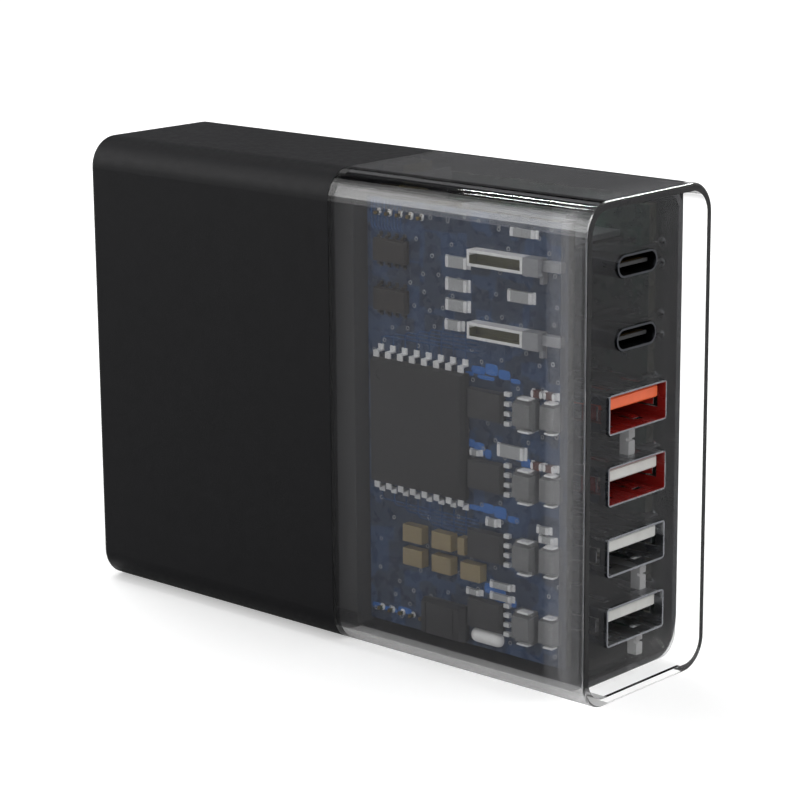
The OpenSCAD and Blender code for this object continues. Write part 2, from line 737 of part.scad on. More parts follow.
// White blocks behind the panel that hold the wide shells at their pitch
module port_spacers() {
  x1 = panel_back - 0.2;
  x0 = x1 - 1.6;
  color("#ecece6") for (p = [[1, 1.2], [3, 4.2], [4, 3.6]]) {
    y = wide_port_y + p[1];
    top = wide_z(p[0]) - wide_h / 2 - fit_gap;
    low = p[0] == 4 ? liner_in + fit_gap : wide_z(p[0] + 1) + wide_h / 2 + fit_gap;
    difference() {
      block([x0, y - 0.7, low], [x1, y + 0.7, top]);
      block([x1 - 0.5, y - 1, (low + top) / 2 - 0.2], [x1 + cut, y + 1, (low + top) / 2 + 0.2]);
    }
  }
}

// Mains side parts

module transformer_core() {
  y0 = main_near - seat_gap - core_t;
  y1 = main_near - seat_gap;
  color("#3b3b3d") difference() {
    block([core_x - core_l / 2, y0, core_z - core_h / 2], [core_x + core_l / 2, y1, core_z + core_h / 2]);
    difference() {
      block([core_x - core_l / 2 - cut, y0 + core_yoke_t, core_z - core_h / 2 + core_leg_t],
        [core_x + core_l / 2 + cut, y1 - core_yoke_t, core_z + core_h / 2 - core_leg_t]);
      translate([core_x, y0, core_z]) rotate([-90, 0, 0]) cylinder(d = core_mid_d, h = core_t);
    }
  }
}

module transformer_bobbin() {
  y0 = main_near - seat_gap - core_t + core_yoke_t + 0.2;
  y1 = main_near - seat_gap - core_yoke_t - 0.2;
  color("#1c1c1e") translate([core_x, 0, core_z]) difference() {
    union() {
      translate([0, y0, 0]) rotate([-90, 0, 0]) cylinder(d = core_mid_d + 0.4 + 2 * bobbin_t, h = y1 - y0);
      for (y = [y0, y1 - bobbin_t]) translate([0, y, 0]) rotate([-90, 0, 0])
        cylinder(d = core_h - 2 * core_leg_t - 0.4, h = bobbin_t);
    }
    translate([0, y0 - cut, 0]) rotate([-90, 0, 0]) cylinder(d = core_mid_d + 0.4, h = y1 - y0 + 2 * cut);
  }
}

module transformer_winding() {
  y0 = main_near - seat_gap - core_t + core_yoke_t + 0.2 + bobbin_t;
  y1 = main_near - seat_gap - core_yoke_t - 0.2 - bobbin_t;
  color("#d8b021") translate([core_x, y0 + 0.1, core_z]) rotate([-90, 0, 0]) difference() {
    cylinder(d = core_h - 2 * core_leg_t - 1.4, h = y1 - y0 - 0.2);
    translate([0, 0, -cut]) cylinder(d = core_mid_d + 0.6 + 2 * bobbin_t, h = y1 - y0 + 2 * cut);
  }
}

module bulk_capacitors() {
  color("#22303c") for (z = bulk_z) translate([bulk_x - bulk_l / 2, bulk_y, z]) rotate([0, 90, 0]) {
    cylinder(d = bulk_d - 1.2, h = 1.6);
    translate([0, 0, 1.6]) cylinder(d = bulk_d - 1.8, h = 1);
    translate([0, 0, 2.6]) cylinder(d = bulk_d, h = bulk_l - 3.1);
    translate([0, 0, bulk_l - 0.5]) cylinder(d = bulk_d - 1.4, h = 0.5);
  }
}

module choke_core() {
  color("#2f5d3a") translate([choke_x, main_near - choke_lift - choke_t, choke_z]) rotate([-90, 0, 0])
    rotate_extrude() translate([choke_d / 4 + 0.8, 0]) square([choke_d / 4 - 0.8 - 1, choke_t]);
}

// Turns of wire as rings through the choke core
module choke_windings() {
  ring_r = (choke_d / 4 + 0.8 + choke_d / 2 - 1) / 2;
  color("#b5652b") translate([choke_x, main_near - choke_lift - choke_t / 2, choke_z])
    for (a = [-60:20:60], side = [0, 180])
      rotate([0, a + side, 0]) translate([ring_r, 0, 0]) difference() {
        cube([choke_d / 4 - 0.8 + 0.2, choke_t + 1.4, 1], center = true);
        cube([choke_d / 4 - 0.8 - 1 + 0.2, choke_t + 0.2, 1 + cut], center = true);
      }
}

module interference_capacitor() {
  color("#caa62c") block([rear_face_in + 1, main_near - 12, board_high - 9.5],
    [rear_face_in + 14, main_near - 0.1, board_high - 3.5]);
}

module bridge_rectifier() {
  x = inlet_bend + inlet_wire_d / 2 + 0.5;
  color("#2a2a2c") {
    block([x, main_near - 13, mid_z - 7.5], [x + 3.4, main_near - 2, mid_z + 7.5]);
    for (i = [-1.5:1:1.5])
      block([x + 1.3, main_near - 2.2, mid_z + i * 3.8 - 0.4], [x + 2, main_near, mid_z + i * 3.8 + 0.4]);
  }
}

// A folded sheet over the inlet, open upwards, with the switch in it
module switch_heatsink() {
  color("#aeb2b6") along_y(main_near - 15, main_near) translate([sink_x, sink_z + sink_flange / 2])
    difference() {
      square([sink_l, sink_flange], center = true);
      translate([0, sink_t]) square([sink_l - 4, sink_flange], center = true);
    }
}

module power_switch() {
  leg_step = 2.54;
  color("#202022") translate([sink_x, main_near, sink_z + sink_t + 0.1]) {
    block([-4.8, -13, 0], [4.8, -3, 2]);
    for (x = [-leg_step, 0, leg_step]) block([x - 0.4, -3.2, 0.7], [x + 0.4, 0, 1.2]);
  }
}

module fuse() {
  cap_l = 2;
  tube_l = 6;
  color("#d7d2c4") translate([rear_face_in + 2, main_near - fuse_d / 2 - seat_gap, board_high - 12.5])
    rotate([0, 90, 0]) {
      for (x = [0, cap_l + tube_l]) translate([0, 0, x]) cylinder(d = fuse_d, h = cap_l);
      translate([0, 0, cap_l]) cylinder(d = fuse_d - 0.4, h = tube_l);
    }
}

// A disc that lies flat between the choke and the inlet, on two legs
module disc_capacitor() {
  y = main_near - 6;
  color("#2d62a8") {
    translate([disc_x, y, disc_z]) cylinder(d = 7, h = disc_t, center = true);
    for (s = [-1, 1]) translate([disc_x + s * 2.5, main_near, disc_z])
      rotate([90, 0, 0]) cylinder(d = 0.6, h = main_near - y);
  }
}

rear_housing();
front_sleeve();
smoked_liner();
port_panel();
inlet_body();
inlet_pins();
inlet_leads();
main_board();
converter_board();
insulation_barrier();
usb_a_shell(1);  // usb_a_shell_1
usb_a_shell(2);  // usb_a_shell_2
usb_a_shell(3);  // usb_a_shell_3
usb_a_shell(4);  // usb_a_shell_4
usb_a_tongue(1);  // usb_a_tongue_1
usb_a_tongue(2);  // usb_a_tongue_2
usb_a_tongue(3);  // usb_a_tongue_3
usb_a_tongue(4);  // usb_a_tongue_4
usb_a_contacts(1);  // usb_a_contacts_1
usb_a_contacts(2);  // usb_a_contacts_2
usb_a_contacts(3);  // usb_a_contacts_3
usb_a_contacts(4);  // usb_a_contacts_4
usb_c_shell(1);  // usb_c_shell_1
usb_c_shell(2);  // usb_c_shell_2
usb_c_tongue(1);  // usb_c_tongue_1
usb_c_tongue(2);  // usb_c_tongue_2
usb_c_contacts(1);  // usb_c_contacts_1
usb_c_contacts(2);  // usb_c_contacts_2
controller_body();
controller_leads();
driver_chips();
port_chips();
port_chip_leads();
filter_chokes();
polymer_capacitors();
tan_capacitors();
chip_resistors();
output_bars();
bar_clamps();
boost_inductor();
link_headers();
link_pins();
heat_spreader();
output_capacitors();
film_capacitor();
port_spacers();
ceramic_capacitors();
fixing_bead();
transformer_core();
transformer_bobbin();
transformer_winding();
bulk_capacitors();
choke_core();
choke_windings();
interference_capacitor();
bridge_rectifier();
switch_heatsink();
power_switch();
fuse();
disc_capacitor();
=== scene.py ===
"""Finishes and lights the desktop charger: half opaque black, half clear over smoked plastic."""

import math

import bmesh
import bpy
from bpy.props import FloatProperty, FloatVectorProperty, IntProperty, PointerProperty
from mathutils import Matrix, Vector


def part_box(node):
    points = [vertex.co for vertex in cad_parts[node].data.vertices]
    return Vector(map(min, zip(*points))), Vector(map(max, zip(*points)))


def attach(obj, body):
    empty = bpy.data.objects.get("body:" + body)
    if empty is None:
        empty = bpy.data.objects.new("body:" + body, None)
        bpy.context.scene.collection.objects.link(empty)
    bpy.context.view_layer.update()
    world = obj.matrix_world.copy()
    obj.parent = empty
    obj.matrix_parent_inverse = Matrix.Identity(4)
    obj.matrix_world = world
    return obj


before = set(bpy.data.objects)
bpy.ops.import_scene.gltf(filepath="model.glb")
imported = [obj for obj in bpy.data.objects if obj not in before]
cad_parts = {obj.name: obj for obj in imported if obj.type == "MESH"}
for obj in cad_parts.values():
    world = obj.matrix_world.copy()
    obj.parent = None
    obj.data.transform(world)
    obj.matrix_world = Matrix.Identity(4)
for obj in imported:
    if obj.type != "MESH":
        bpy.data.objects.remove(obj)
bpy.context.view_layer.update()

bl_info = {
    "name": "Desktop Charger",
    "version": (1, 0, 0),
    "blender": (4, 5, 0),
    "location": "3D View > Sidebar > Charger",
    "description": "Finishes the packed charger, adds its solder and traces, and sets the studio",
    "category": "Object",
}

MM = 0.001
BODY = "root"
WIDE_PORTS = (1, 2, 3, 4)
# The wide ports that are lined in red
FAST_PORTS = (1, 2)
OVAL_PORTS = (1, 2)
# The colour sockets of a Mix node, by number because its other kinds use the same names
MIX_A, MIX_B, MIX_RESULT = 6, 7, 2
# Nearly all of a noise texture's values lie between these two
NOISE_SPREAD = {"From Min": 0.3, "From Max": 0.7}


def linear(code):
    """An sRGB hex colour as linear red, green, blue and alpha."""
    parts = [int(code[i : i + 2], 16) / 255 for i in (1, 3, 5)]
    return [c / 12.92 if c <= 0.04045 else ((c + 0.055) / 1.055) ** 2.4 for c in parts] + [1.0]


def colour_property(name, code, description):
    """A setting that holds an sRGB hex colour."""
    return FloatVectorProperty(
        name=name, description=description, subtype="COLOR", size=4, min=0, max=1, default=linear(code)
    )


def length_property(name, value, description):
    """A setting that holds a length in metres."""
    return FloatProperty(
        name=name, description=description, subtype="DISTANCE", unit="LENGTH", default=value
    )


def share_property(name, value, description):
    """A setting that holds a share from none to all."""
    return FloatProperty(
        name=name, description=description, subtype="FACTOR", min=0, max=1, default=value
    )


# Settings


class HousingSettings(bpy.types.PropertyGroup):
    """Colours and finish of the housing"""

    black: colour_property("Black", "#141416", "Colour of the moulded black rear housing")
    grain: length_property("Grain", 0.16 * MM, "Width of one grain of the spark-eroded surface")
    smoke: colour_property("Smoke", "#0c0c0e", "Colour of the smoked plastic")
    liner_solid: share_property("Liner tint", 0.27, "Share of light one liner face keeps back")
    panel_solid: share_property("Panel tint", 0.42, "Share of light one panel face keeps back")
    clear_ior: FloatProperty(
        name="Clear IOR", description="Index of refraction of the clear sleeve", default=1.45
    )


class PortSettings(bpy.types.PropertyGroup):
    """Colours of the wide ports"""

    fast: colour_property("Fast port", "#f26a38", "Colour of the top wide port's tongue")
    lining: colour_property("Fast lining", "#7c1a17", "Colour inside the two fast ports")
    plain: colour_property("Plain port", "#d2d2ce", "Colour of the other wide ports' tongues")


class BoardSettings(bpy.types.PropertyGroup):
    """Colours of the boards, and sizes of their traces and vias"""

    mask: colour_property("Solder mask", "#142c4a", "Colour of the converter board")
    main_mask: colour_property("Main mask", "#0e2a20", "Colour of the main board")
    trace: length_property("Trace", 0.11 * MM, "Half the width of a trace")
    via: length_property("Via", 0.26 * MM, "Radius of a via ring")
    via_seed: IntProperty(name="Via seed", description="Seed of the vias' places", default=7, min=0)


class StageSettings(bpy.types.PropertyGroup):
    """Floor, even light and lens"""

    floor: colour_property("Floor", "#f4f4f4", "Colour of the floor")
    surround: share_property("Surround", 0.55, "Strength of the even light from all round")
    lens: FloatProperty(name="Lens", description="Focal length in millimetres", default=122.1)


# Materials


def put(tree, kind, values=None, links=None):
    """Adds one node, sets its options and sockets, and links sockets to others."""
    node = tree.nodes.new(kind)
    for key, value in (values or {}).items():
        if isinstance(key, str) and hasattr(node, key):
            setattr(node, key, value)
        else:
            node.inputs[key].default_value = value
    for key, source in (links or {}).items():
        tree.links.new(source, node.inputs[key])
    return node


def new_material(name, sockets):
    """A material with one Principled shader whose constant values sit on its own sockets."""
    material = bpy.data.materials.new(name)
    material.use_nodes = True
    tree = material.node_tree
    shader = tree.nodes["Principled BSDF"]
    for key, value in sockets.items():
        shader.inputs[key].default_value = value
    return material, tree, shader


def place(tree):
    """Object coordinates in metres."""
    return put(tree, "ShaderNodeTexCoord").outputs["Object"]


def speckle(tree, size, low, high, detail=2.0, stretch=(1, 1, 1)):
    """Noise whose lumps are size wide, spread from low to high."""
    scaled = put(tree, "ShaderNodeMapping", {"Scale": stretch}, {"Vector": place(tree)})
    noise = put(
        tree, "ShaderNodeTexNoise",
        {"Scale": 1 / size, "Detail": detail}, {"Vector": scaled.outputs["Vector"]},
    )
    return put(
        tree, "ShaderNodeMapRange",
        {**NOISE_SPREAD, "To Min": low, "To Max": high}, {"Value": noise.outputs["Fac"]},
    ).outputs["Result"]


def relief(tree, shader, size, depth, detail=2.0, stretch=(1, 1, 1)):
    """A bump whose lumps are size wide and depth high."""
    height = speckle(tree, size, 0.0, 1.0, detail, stretch)
    bump = put(tree, "ShaderNodeBump", {"Strength": 1.0, "Distance": depth}, {"Height": height})
    tree.links.new(bump.outputs["Normal"], shader.inputs["Normal"])


def rough_and_grain(tree, shader, size, depth, rough, stretch=(1, 1, 1)):
    """A bump of real grain size, and roughness that varies a little over lumps six grains wide."""
    uneven = speckle(tree, size * 6, rough[0], rough[1], 3.0, stretch)
    tree.links.new(uneven, shader.inputs["Roughness"])
    relief(tree, shader, size, depth, stretch=stretch)


def tone(tree, shader, first, second, size, stretch=(1, 1, 1)):
    """Base colour that drifts between two tones over lumps of a real size."""
    mix = put(
        tree, "ShaderNodeMix", {"data_type": "RGBA", MIX_A: first, MIX_B: second},
        {"Factor": speckle(tree, size, 0.0, 1.0, 3.0, stretch)},
    )
    tree.links.new(mix.outputs[MIX_RESULT], shader.inputs["Base Color"])


def shade(colour, share):
    """A colour with its light scaled."""
    return [min(1.0, c * share) for c in colour[:3]] + [1.0]


def paint(material, mask, colour):
    """Lays a second colour over a material's own where the mask is 1."""
    tree = material.node_tree
    base = tree.nodes["Principled BSDF"].inputs["Base Color"]
    over = put(
        tree, "ShaderNodeMix", {"data_type": "RGBA", MIX_B: colour},
        {"Factor": mask, MIX_A: base.links[0].from_socket},
    )
    tree.links.new(over.outputs[MIX_RESULT], base)


def inside_box(tree, low, high):
    """1 where the Object coordinates lie in a box, else 0."""
    apart = put(tree, "ShaderNodeSeparateXYZ", None, {"Vector": place(tree)})
    inside = None
    for axis in range(3):
        middle, half = (low[axis] + high[axis]) / 2, (high[axis] - low[axis]) / 2
        test = put(
            tree, "ShaderNodeMath",
            {"operation": "COMPARE", 1: middle, 2: half}, {0: apart.outputs[axis]},
        ).outputs[0]
        inside = test if inside is None else put(
            tree, "ShaderNodeMath", {"operation": "MULTIPLY"}, {0: inside, 1: test}
        ).outputs[0]
    return inside


def pass_light(tree, shader, share):
    """Lets that share of the lamps' and the room's light through a see-through material."""
    path = put(tree, "ShaderNodeLightPath")
    light = put(
        tree, "ShaderNodeMath", {"operation": "MAXIMUM"},
        {0: path.outputs["Is Shadow Ray"], 1: path.outputs["Is Diffuse Ray"]},
    )
    part = put(tree, "ShaderNodeMath", {"operation": "MULTIPLY", 1: share}, {0: light.outputs[0]})
    open_air = put(tree, "ShaderNodeBsdfTransparent")
    mix = put(
        tree, "ShaderNodeMixShader", None,
        {0: part.outputs[0], 1: shader.outputs["BSDF"], 2: open_air.outputs["BSDF"]},
    )
    tree.links.new(mix.outputs["Shader"], tree.nodes["Material Output"].inputs["Surface"])


def seen_white(tree):
    """1 for what the eye, a mirror or glass sees, 0 for what lights the object."""
    path = put(tree, "ShaderNodeLightPath")
    seen = path.outputs["Is Camera Ray"]
    for kind in ("Is Glossy Ray", "Is Transmission Ray"):
        seen = put(
            tree, "ShaderNodeMath", {"operation": "MAXIMUM"}, {0: seen, 1: path.outputs[kind]}
        ).outputs[0]
    return seen


def moulded_plastic(name, colour, rough=0.45, grain=0.12 * MM, depth=0.004 * MM, ior=1.5):
    """Moulded thermoplastic: even colour, fine tool grain that softens its highlights."""
    material, tree, shader = new_material(name, {"IOR": ior})
    tone(tree, shader, shade(colour, 0.93), shade(colour, 1.07), 2.5 * MM)
    rough_and_grain(tree, shader, grain, depth, (rough - 0.05, rough + 0.05))
    return material


def smoked_moulding(name, colour, solid, band, lit_tint, rough):
    """Smoked polycarbonate: dark and see-through, with the slow ripple of a moulding on its gloss.

    Each face keeps back a share of what is seen, and less of what lights the parts behind it.
    Inside the band the base colour is painted paler: painted light for the bright band by the clear rim."""
    material, tree, shader = new_material(name, {"Alpha": solid, "IOR": 1.6, "Roughness": rough})
    # Painted light: inside the band the plastic takes the paler tint
    mix = put(
        tree, "ShaderNodeMix", {"data_type": "RGBA", MIX_A: colour, MIX_B: linear(lit_tint)},
        {"Factor": inside_box(tree, *band)},
    )
    tree.links.new(mix.outputs[MIX_RESULT], shader.inputs["Base Color"])
    relief(tree, shader, 7 * MM, 0.012 * MM, 1.0)
    pass_light(tree, shader, 0.95)
    return material


def clear_moulding(name, ior, seam):
    """Polished clear polycarbonate with real refraction, painted black at its seam end as painted shade."""
    material, tree, shader = new_material(name, {"IOR": ior, "Roughness": 0.02})
    x = put(tree, "ShaderNodeSeparateXYZ", None, {"Vector": place(tree)}).outputs["X"]
    # Up to this far past the seam the sleeve is opaque black: painted shade, so its end face shows no bright
    # line
    shaded_end = 0.02 * MM
    clear = put(tree, "ShaderNodeMath", {"operation": "GREATER_THAN", 1: seam + shaded_end}, {0: x}).outputs[0]
    tree.links.new(clear, shader.inputs["Transmission Weight"])
    tree.links.new(clear, shader.inputs["Base Color"])
    relief(tree, shader, 9 * MM, 0.008 * MM, 1.0)
    pass_light(tree, shader, 0.9)
    return material


def plated_steel(name, colour="#96989c", rough=0.26):
    """Bright nickel plate on pressed steel: mirror-like with drawing marks along the shell."""
    material, tree, shader = new_material(name, {"Metallic": 1.0})
    tone(tree, shader, shade(linear(colour), 0.85), linear(colour), 1.5 * MM, (0.15, 1, 1))
    spread = (rough - 0.06, rough + 0.06)
    rough_and_grain(tree, shader, 0.3 * MM, 0.0008 * MM, spread, (0.2, 1, 1))
    return material


def metal(name, colour, rough, grain=0.1 * MM, depth=0.002 * MM):
    """Bare or plated metal with a soft drift in tone."""
    material, tree, shader = new_material(name, {"Metallic": 1.0})
    tone(tree, shader, shade(linear(colour), 0.88), linear(colour), 0.9 * MM)
    rough_and_grain(tree, shader, grain, depth, (rough - 0.06, rough + 0.06))
    return material


def matte_tin(name, colour="#f8f9fa", share=0.25):
    """Matte tin plate: fine crystals scatter most of the light, so it stays pale where a mirror goes dark."""
    material, tree, shader = new_material(name, {"Metallic": share})
    tone(tree, shader, shade(linear(colour), 0.85), linear(colour), 0.5 * MM)
    rough_and_grain(tree, shader, 0.06 * MM, 0.002 * MM, (0.4, 0.55))
    return material


def ceramic(name, colour, rough=0.5):
    """Fired ceramic: fine specks in the body and a dull skin."""
    material, tree, shader = new_material(name, {"IOR": 1.6})
    tone(tree, shader, shade(linear(colour), 0.8), shade(linear(colour), 1.15), 0.25 * MM)
    rough_and_grain(tree, shader, 0.09 * MM, 0.003 * MM, (rough - 0.08, rough + 0.08))
    return material


def coated_board(name, mask, laminate, near, far):
    """Glass-fibre board: glossy solder mask over copper pours, and bare laminate at its cut edges."""
    material, tree, shader = new_material(name, {"IOR": 1.55})
    here = place(tree)
    # Pours of copper a few millimetres wide show as paler fields
    cells = put(
        tree, "ShaderNodeTexVoronoi",
        {"distance": "CHEBYCHEV", "feature": "F1", "Scale": 1 / (3.2 * MM), "Randomness": 0.75},
        {"Vector": here},
    )
    pour = put(
        tree, "ShaderNodeMath", {"operation": "GREATER_THAN", 1: 0.52}, {0: cells.outputs["Color"]}
    ).outputs[0]
    coat = put(
        tree, "ShaderNodeMix", {"data_type": "RGBA", MIX_A: mask, MIX_B: shade(mask, 1.9)}, {"Factor": pour}
    )
    # The glass cloth prints through faintly
    turned = put(tree, "ShaderNodeMapping", {"Rotation": (math.pi / 2, 0, 0)}, {"Vector": here})
    weave = put(
        tree, "ShaderNodeTexBrick",
        {"Scale": 1.0, "Mortar Size": 0.05 * MM, "Brick Width": 0.5 * MM, "Row Height": 0.25 * MM,
         "Color1": (0.0, 0.0, 0.0, 1.0), "Color2": (0.35, 0.35, 0.35, 1.0), "Mortar": (1.0, 1.0, 1.0, 1.0)},
        {"Vector": turned.outputs[0]},
    )
    woven = put(
        tree, "ShaderNodeMix", {"data_type": "RGBA", "blend_type": "ADD", "Factor": 0.02},
        {MIX_A: coat.outputs[MIX_RESULT], MIX_B: weave.outputs["Color"]},
    )
    # Between its two faces the board shows its bare laminate
    y = put(tree, "ShaderNodeSeparateXYZ", None, {"Vector": here}).outputs["Y"]
    middle, half = (near + far) / 2, (far - near) / 2 - 0.03 * MM
    edge = put(tree, "ShaderNodeMath", {"operation": "COMPARE", 1: middle, 2: half}, {0: y}).outputs[0]
    base = put(
        tree, "ShaderNodeMix", {"data_type": "RGBA", MIX_B: laminate},
        {"Factor": edge, MIX_A: woven.outputs[MIX_RESULT]},
    )
    tree.links.new(base.outputs[MIX_RESULT], shader.inputs["Base Color"])
    rough_and_grain(tree, shader, 0.3 * MM, 0.004 * MM, (0.22, 0.36))
    return material


def dress(material, *nodes):
    """Puts a material on CAD nodes."""
    for node in nodes:
        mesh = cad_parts[node].data
        mesh.materials.clear()
        mesh.materials.append(material)


# Measuring the CAD pieces


def solids_of(node):
    """The points of each separate solid of a CAD node, in metres."""
    mesh = bmesh.new()
    mesh.from_mesh(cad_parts[node].data)
    bmesh.ops.remove_doubles(mesh, verts=mesh.verts, dist=1e-6)
    left, found = set(mesh.verts), []
    # In the mesh's own order, so that every run finds the same
    for first in mesh.verts:
        if first not in left:
            continue
        left.remove(first)
        stack, island = [first], []
        while stack:
            vert = stack.pop()
            island.append(vert.co.copy())
            for edge in vert.link_edges:
                other = edge.other_vert(vert)
                if other in left:
                    left.remove(other)
                    stack.append(other)
        found.append(island)
    mesh.free()
    return sorted(found, key=lambda s: (round(min(p.x for p in s), 5), round(min(p.z for p in s), 5)))


def corners(points):
    """The lowest and highest corner of some points."""
    return (
        Vector(min(p[i] for p in points) for i in range(3)),
        Vector(max(p[i] for p in points) for i in range(3)),
    )


def tips(node, beyond):
    """The middle of each leg or tail of a node that passes a board's far face."""
    # Points of one leg lie closer together than this, and two legs of one solid never do
    one_leg = 1.9 * MM
    groups = []
    for solid in solids_of(node):
        own = []
        for point in (p for p in solid if p.y > beyond):
            for group in own:
                if (group[0] - point).length < one_leg:
                    group.append(point)
                    break
            else:
                own.append([point])
        groups += own
    return [sum(corners(g), Vector()) / 2 for g in groups]


# Geometry Nodes


def new_tree(name, inputs):
    """A geometry tree with a geometry input, the named inputs and a material."""
    tree = bpy.data.node_groups.new(name, "GeometryNodeTree")
    tree.interface.new_socket("Geometry", in_out="INPUT", socket_type="NodeSocketGeometry")
    for label, kind, default in inputs:
        socket = tree.interface.new_socket(label, in_out="INPUT", socket_type="NodeSocket" + kind)
        socket.default_value = default
    tree.interface.new_socket("Material", in_out="INPUT", socket_type="NodeSocketMaterial")
    tree.interface.new_socket("Geometry", in_out="OUTPUT", socket_type="NodeSocketGeometry")
    return tree, put(tree, "NodeGroupInput")


def end_tree(tree, entry, geometry):
    """Ends a tree in real geometry with its material."""
    real = put(tree, "GeometryNodeRealizeInstances", None, {"Geometry": geometry})
    made = put(
        tree, "GeometryNodeSetMaterial", None,
        {"Geometry": real.outputs[0], "Material": entry.outputs["Material"]},
    )
    put(tree, "NodeGroupOutput", None, {"Geometry": made.outputs[0]})
    return tree


def solder_tree():
    """A cone of solder round each point, its foot on the board."""
    tree, entry = new_tree(
        "solder_joints",
        [
            ("Radius", "Float", 0.8 * MM), ("Height", "Float", 0.6 * MM),
            ("Turn", "Float", 0.0), ("Seed", "Int", 3),
        ],
    )
    radius, height = entry.outputs["Radius"], entry.outputs["Height"]
    top = put(tree, "ShaderNodeMath", {"operation": "MULTIPLY", 1: 0.34}, {0: radius})
    cone = put(
        tree, "GeometryNodeMeshCone", {"Vertices": 14, "Side Segments": 3},
        {"Radius Bottom": radius, "Radius Top": top.outputs[0], "Depth": height},
    )
    # The side bellies out between foot and lead, as wetted solder does
    up = put(tree, "GeometryNodeInputPosition").outputs[0]
    z = put(tree, "ShaderNodeSeparateXYZ", None, {"Vector": up}).outputs["Z"]
    share = put(tree, "ShaderNodeMath", {"operation": "DIVIDE"}, {0: z, 1: height}).outputs[0]
    back = put(tree, "ShaderNodeMath", {"operation": "SUBTRACT", 1: 1.0}, {0: share}).outputs[0]
    waist = put(tree, "ShaderNodeMath", {"operation": "MULTIPLY"}, {0: share, 1: back}).outputs[0]
    wide = put(tree, "ShaderNodeMath", {"operation": "MULTIPLY_ADD", 1: 0.9, 2: 1.0}, {0: waist}).outputs[0]
    factor = put(tree, "ShaderNodeCombineXYZ", {"Z": 1.0}, {"X": wide, "Y": wide}).outputs[0]
    moved = put(tree, "ShaderNodeVectorMath", {"operation": "MULTIPLY"}, {0: up, 1: factor}).outputs[0]
    shaped = put(
        tree, "GeometryNodeSetPosition", None, {"Geometry": cone.outputs["Mesh"], "Position": moved}
    ).outputs[0]
    smooth = put(tree, "GeometryNodeSetShadeSmooth", None, {"Geometry": shaped}).outputs[0]
    turn = put(tree, "ShaderNodeCombineXYZ", None, {"X": entry.outputs["Turn"]}).outputs[0]
    # No two joints take quite the same solder: 0.9 to 1.08 times the size
    size = put(
        tree, "FunctionNodeRandomValue",
        {"data_type": "FLOAT", 2: 0.9, 3: 1.08}, {"Seed": entry.outputs["Seed"]},
    ).outputs[1]
    points = put(tree, "GeometryNodeInstanceOnPoints", None, {
        "Points": entry.outputs["Geometry"], "Instance": smooth, "Rotation": turn, "Scale": size,
    })
    return end_tree(tree, entry, points.outputs[0])


def block_tree():
    """A small block at each point, as large as the point's block_size."""
    tree, entry = new_tree("blocks", [("Rounding", "Float", 0.12)])
    cube = put(
        tree, "GeometryNodeMeshCube",
        {"Size": (1, 1, 1), "Vertices X": 3, "Vertices Y": 3, "Vertices Z": 3},
    )
    # The outer ring of corners is drawn in, which rounds the block's edges
    here = put(tree, "GeometryNodeInputPosition").outputs[0]
    apart = put(tree, "ShaderNodeSeparateXYZ", None, {"Vector": here})
    outer = None
    for axis in "XYZ":
        far = put(tree, "ShaderNodeMath", {"operation": "ABSOLUTE"}, {0: apart.outputs[axis]}).outputs[0]
        outer = far if outer is None else put(
            tree, "ShaderNodeMath", {"operation": "ADD"}, {0: outer, 1: far}
        ).outputs[0]
    past = put(
        tree, "ShaderNodeMath", {"operation": "SUBTRACT", 1: 0.5, "use_clamp": True}, {0: outer}
    ).outputs[0]
    pull = put(
        tree, "ShaderNodeMath", {"operation": "MULTIPLY"}, {0: past, 1: entry.outputs["Rounding"]}
    ).outputs[0]
    share = put(tree, "ShaderNodeMath", {"operation": "SUBTRACT", 0: 1.0}, {1: pull}).outputs[0]
    moved = put(tree, "ShaderNodeVectorMath", {"operation": "SCALE"}, {0: here, "Scale": share}).outputs[0]
    block = put(tree, "GeometryNodeSetPosition", None, {"Geometry": cube.outputs["Mesh"], "Position": moved})
    size = put(tree, "GeometryNodeInputNamedAttribute", {"data_type": "FLOAT_VECTOR", "Name": "block_size"})
    points = put(tree, "GeometryNodeInstanceOnPoints", None, {
        "Points": entry.outputs["Geometry"], "Instance": block.outputs[0], "Scale": size.outputs[0],
    })
    return end_tree(tree, entry, points.outputs[0])


def trace_tree():
    """A low ridge along each edge chain: copper under the solder mask."""
    tree, entry = new_tree("traces", [("Half Width", "Float", 0.1 * MM)])
    line = put(tree, "GeometryNodeMeshToCurve", None, {"Mesh": entry.outputs["Geometry"]}).outputs[0]
    ring = put(
        tree, "GeometryNodeCurvePrimitiveCircle", {"Resolution": 6}, {"Radius": entry.outputs["Half Width"]}
    ).outputs[0]
    ridge = put(
        tree, "GeometryNodeCurveToMesh", {"Fill Caps": True}, {"Curve": line, "Profile Curve": ring}
    ).outputs[0]
    smooth = put(tree, "GeometryNodeSetShadeSmooth", None, {"Geometry": ridge}).outputs[0]
    return end_tree(tree, entry, smooth)


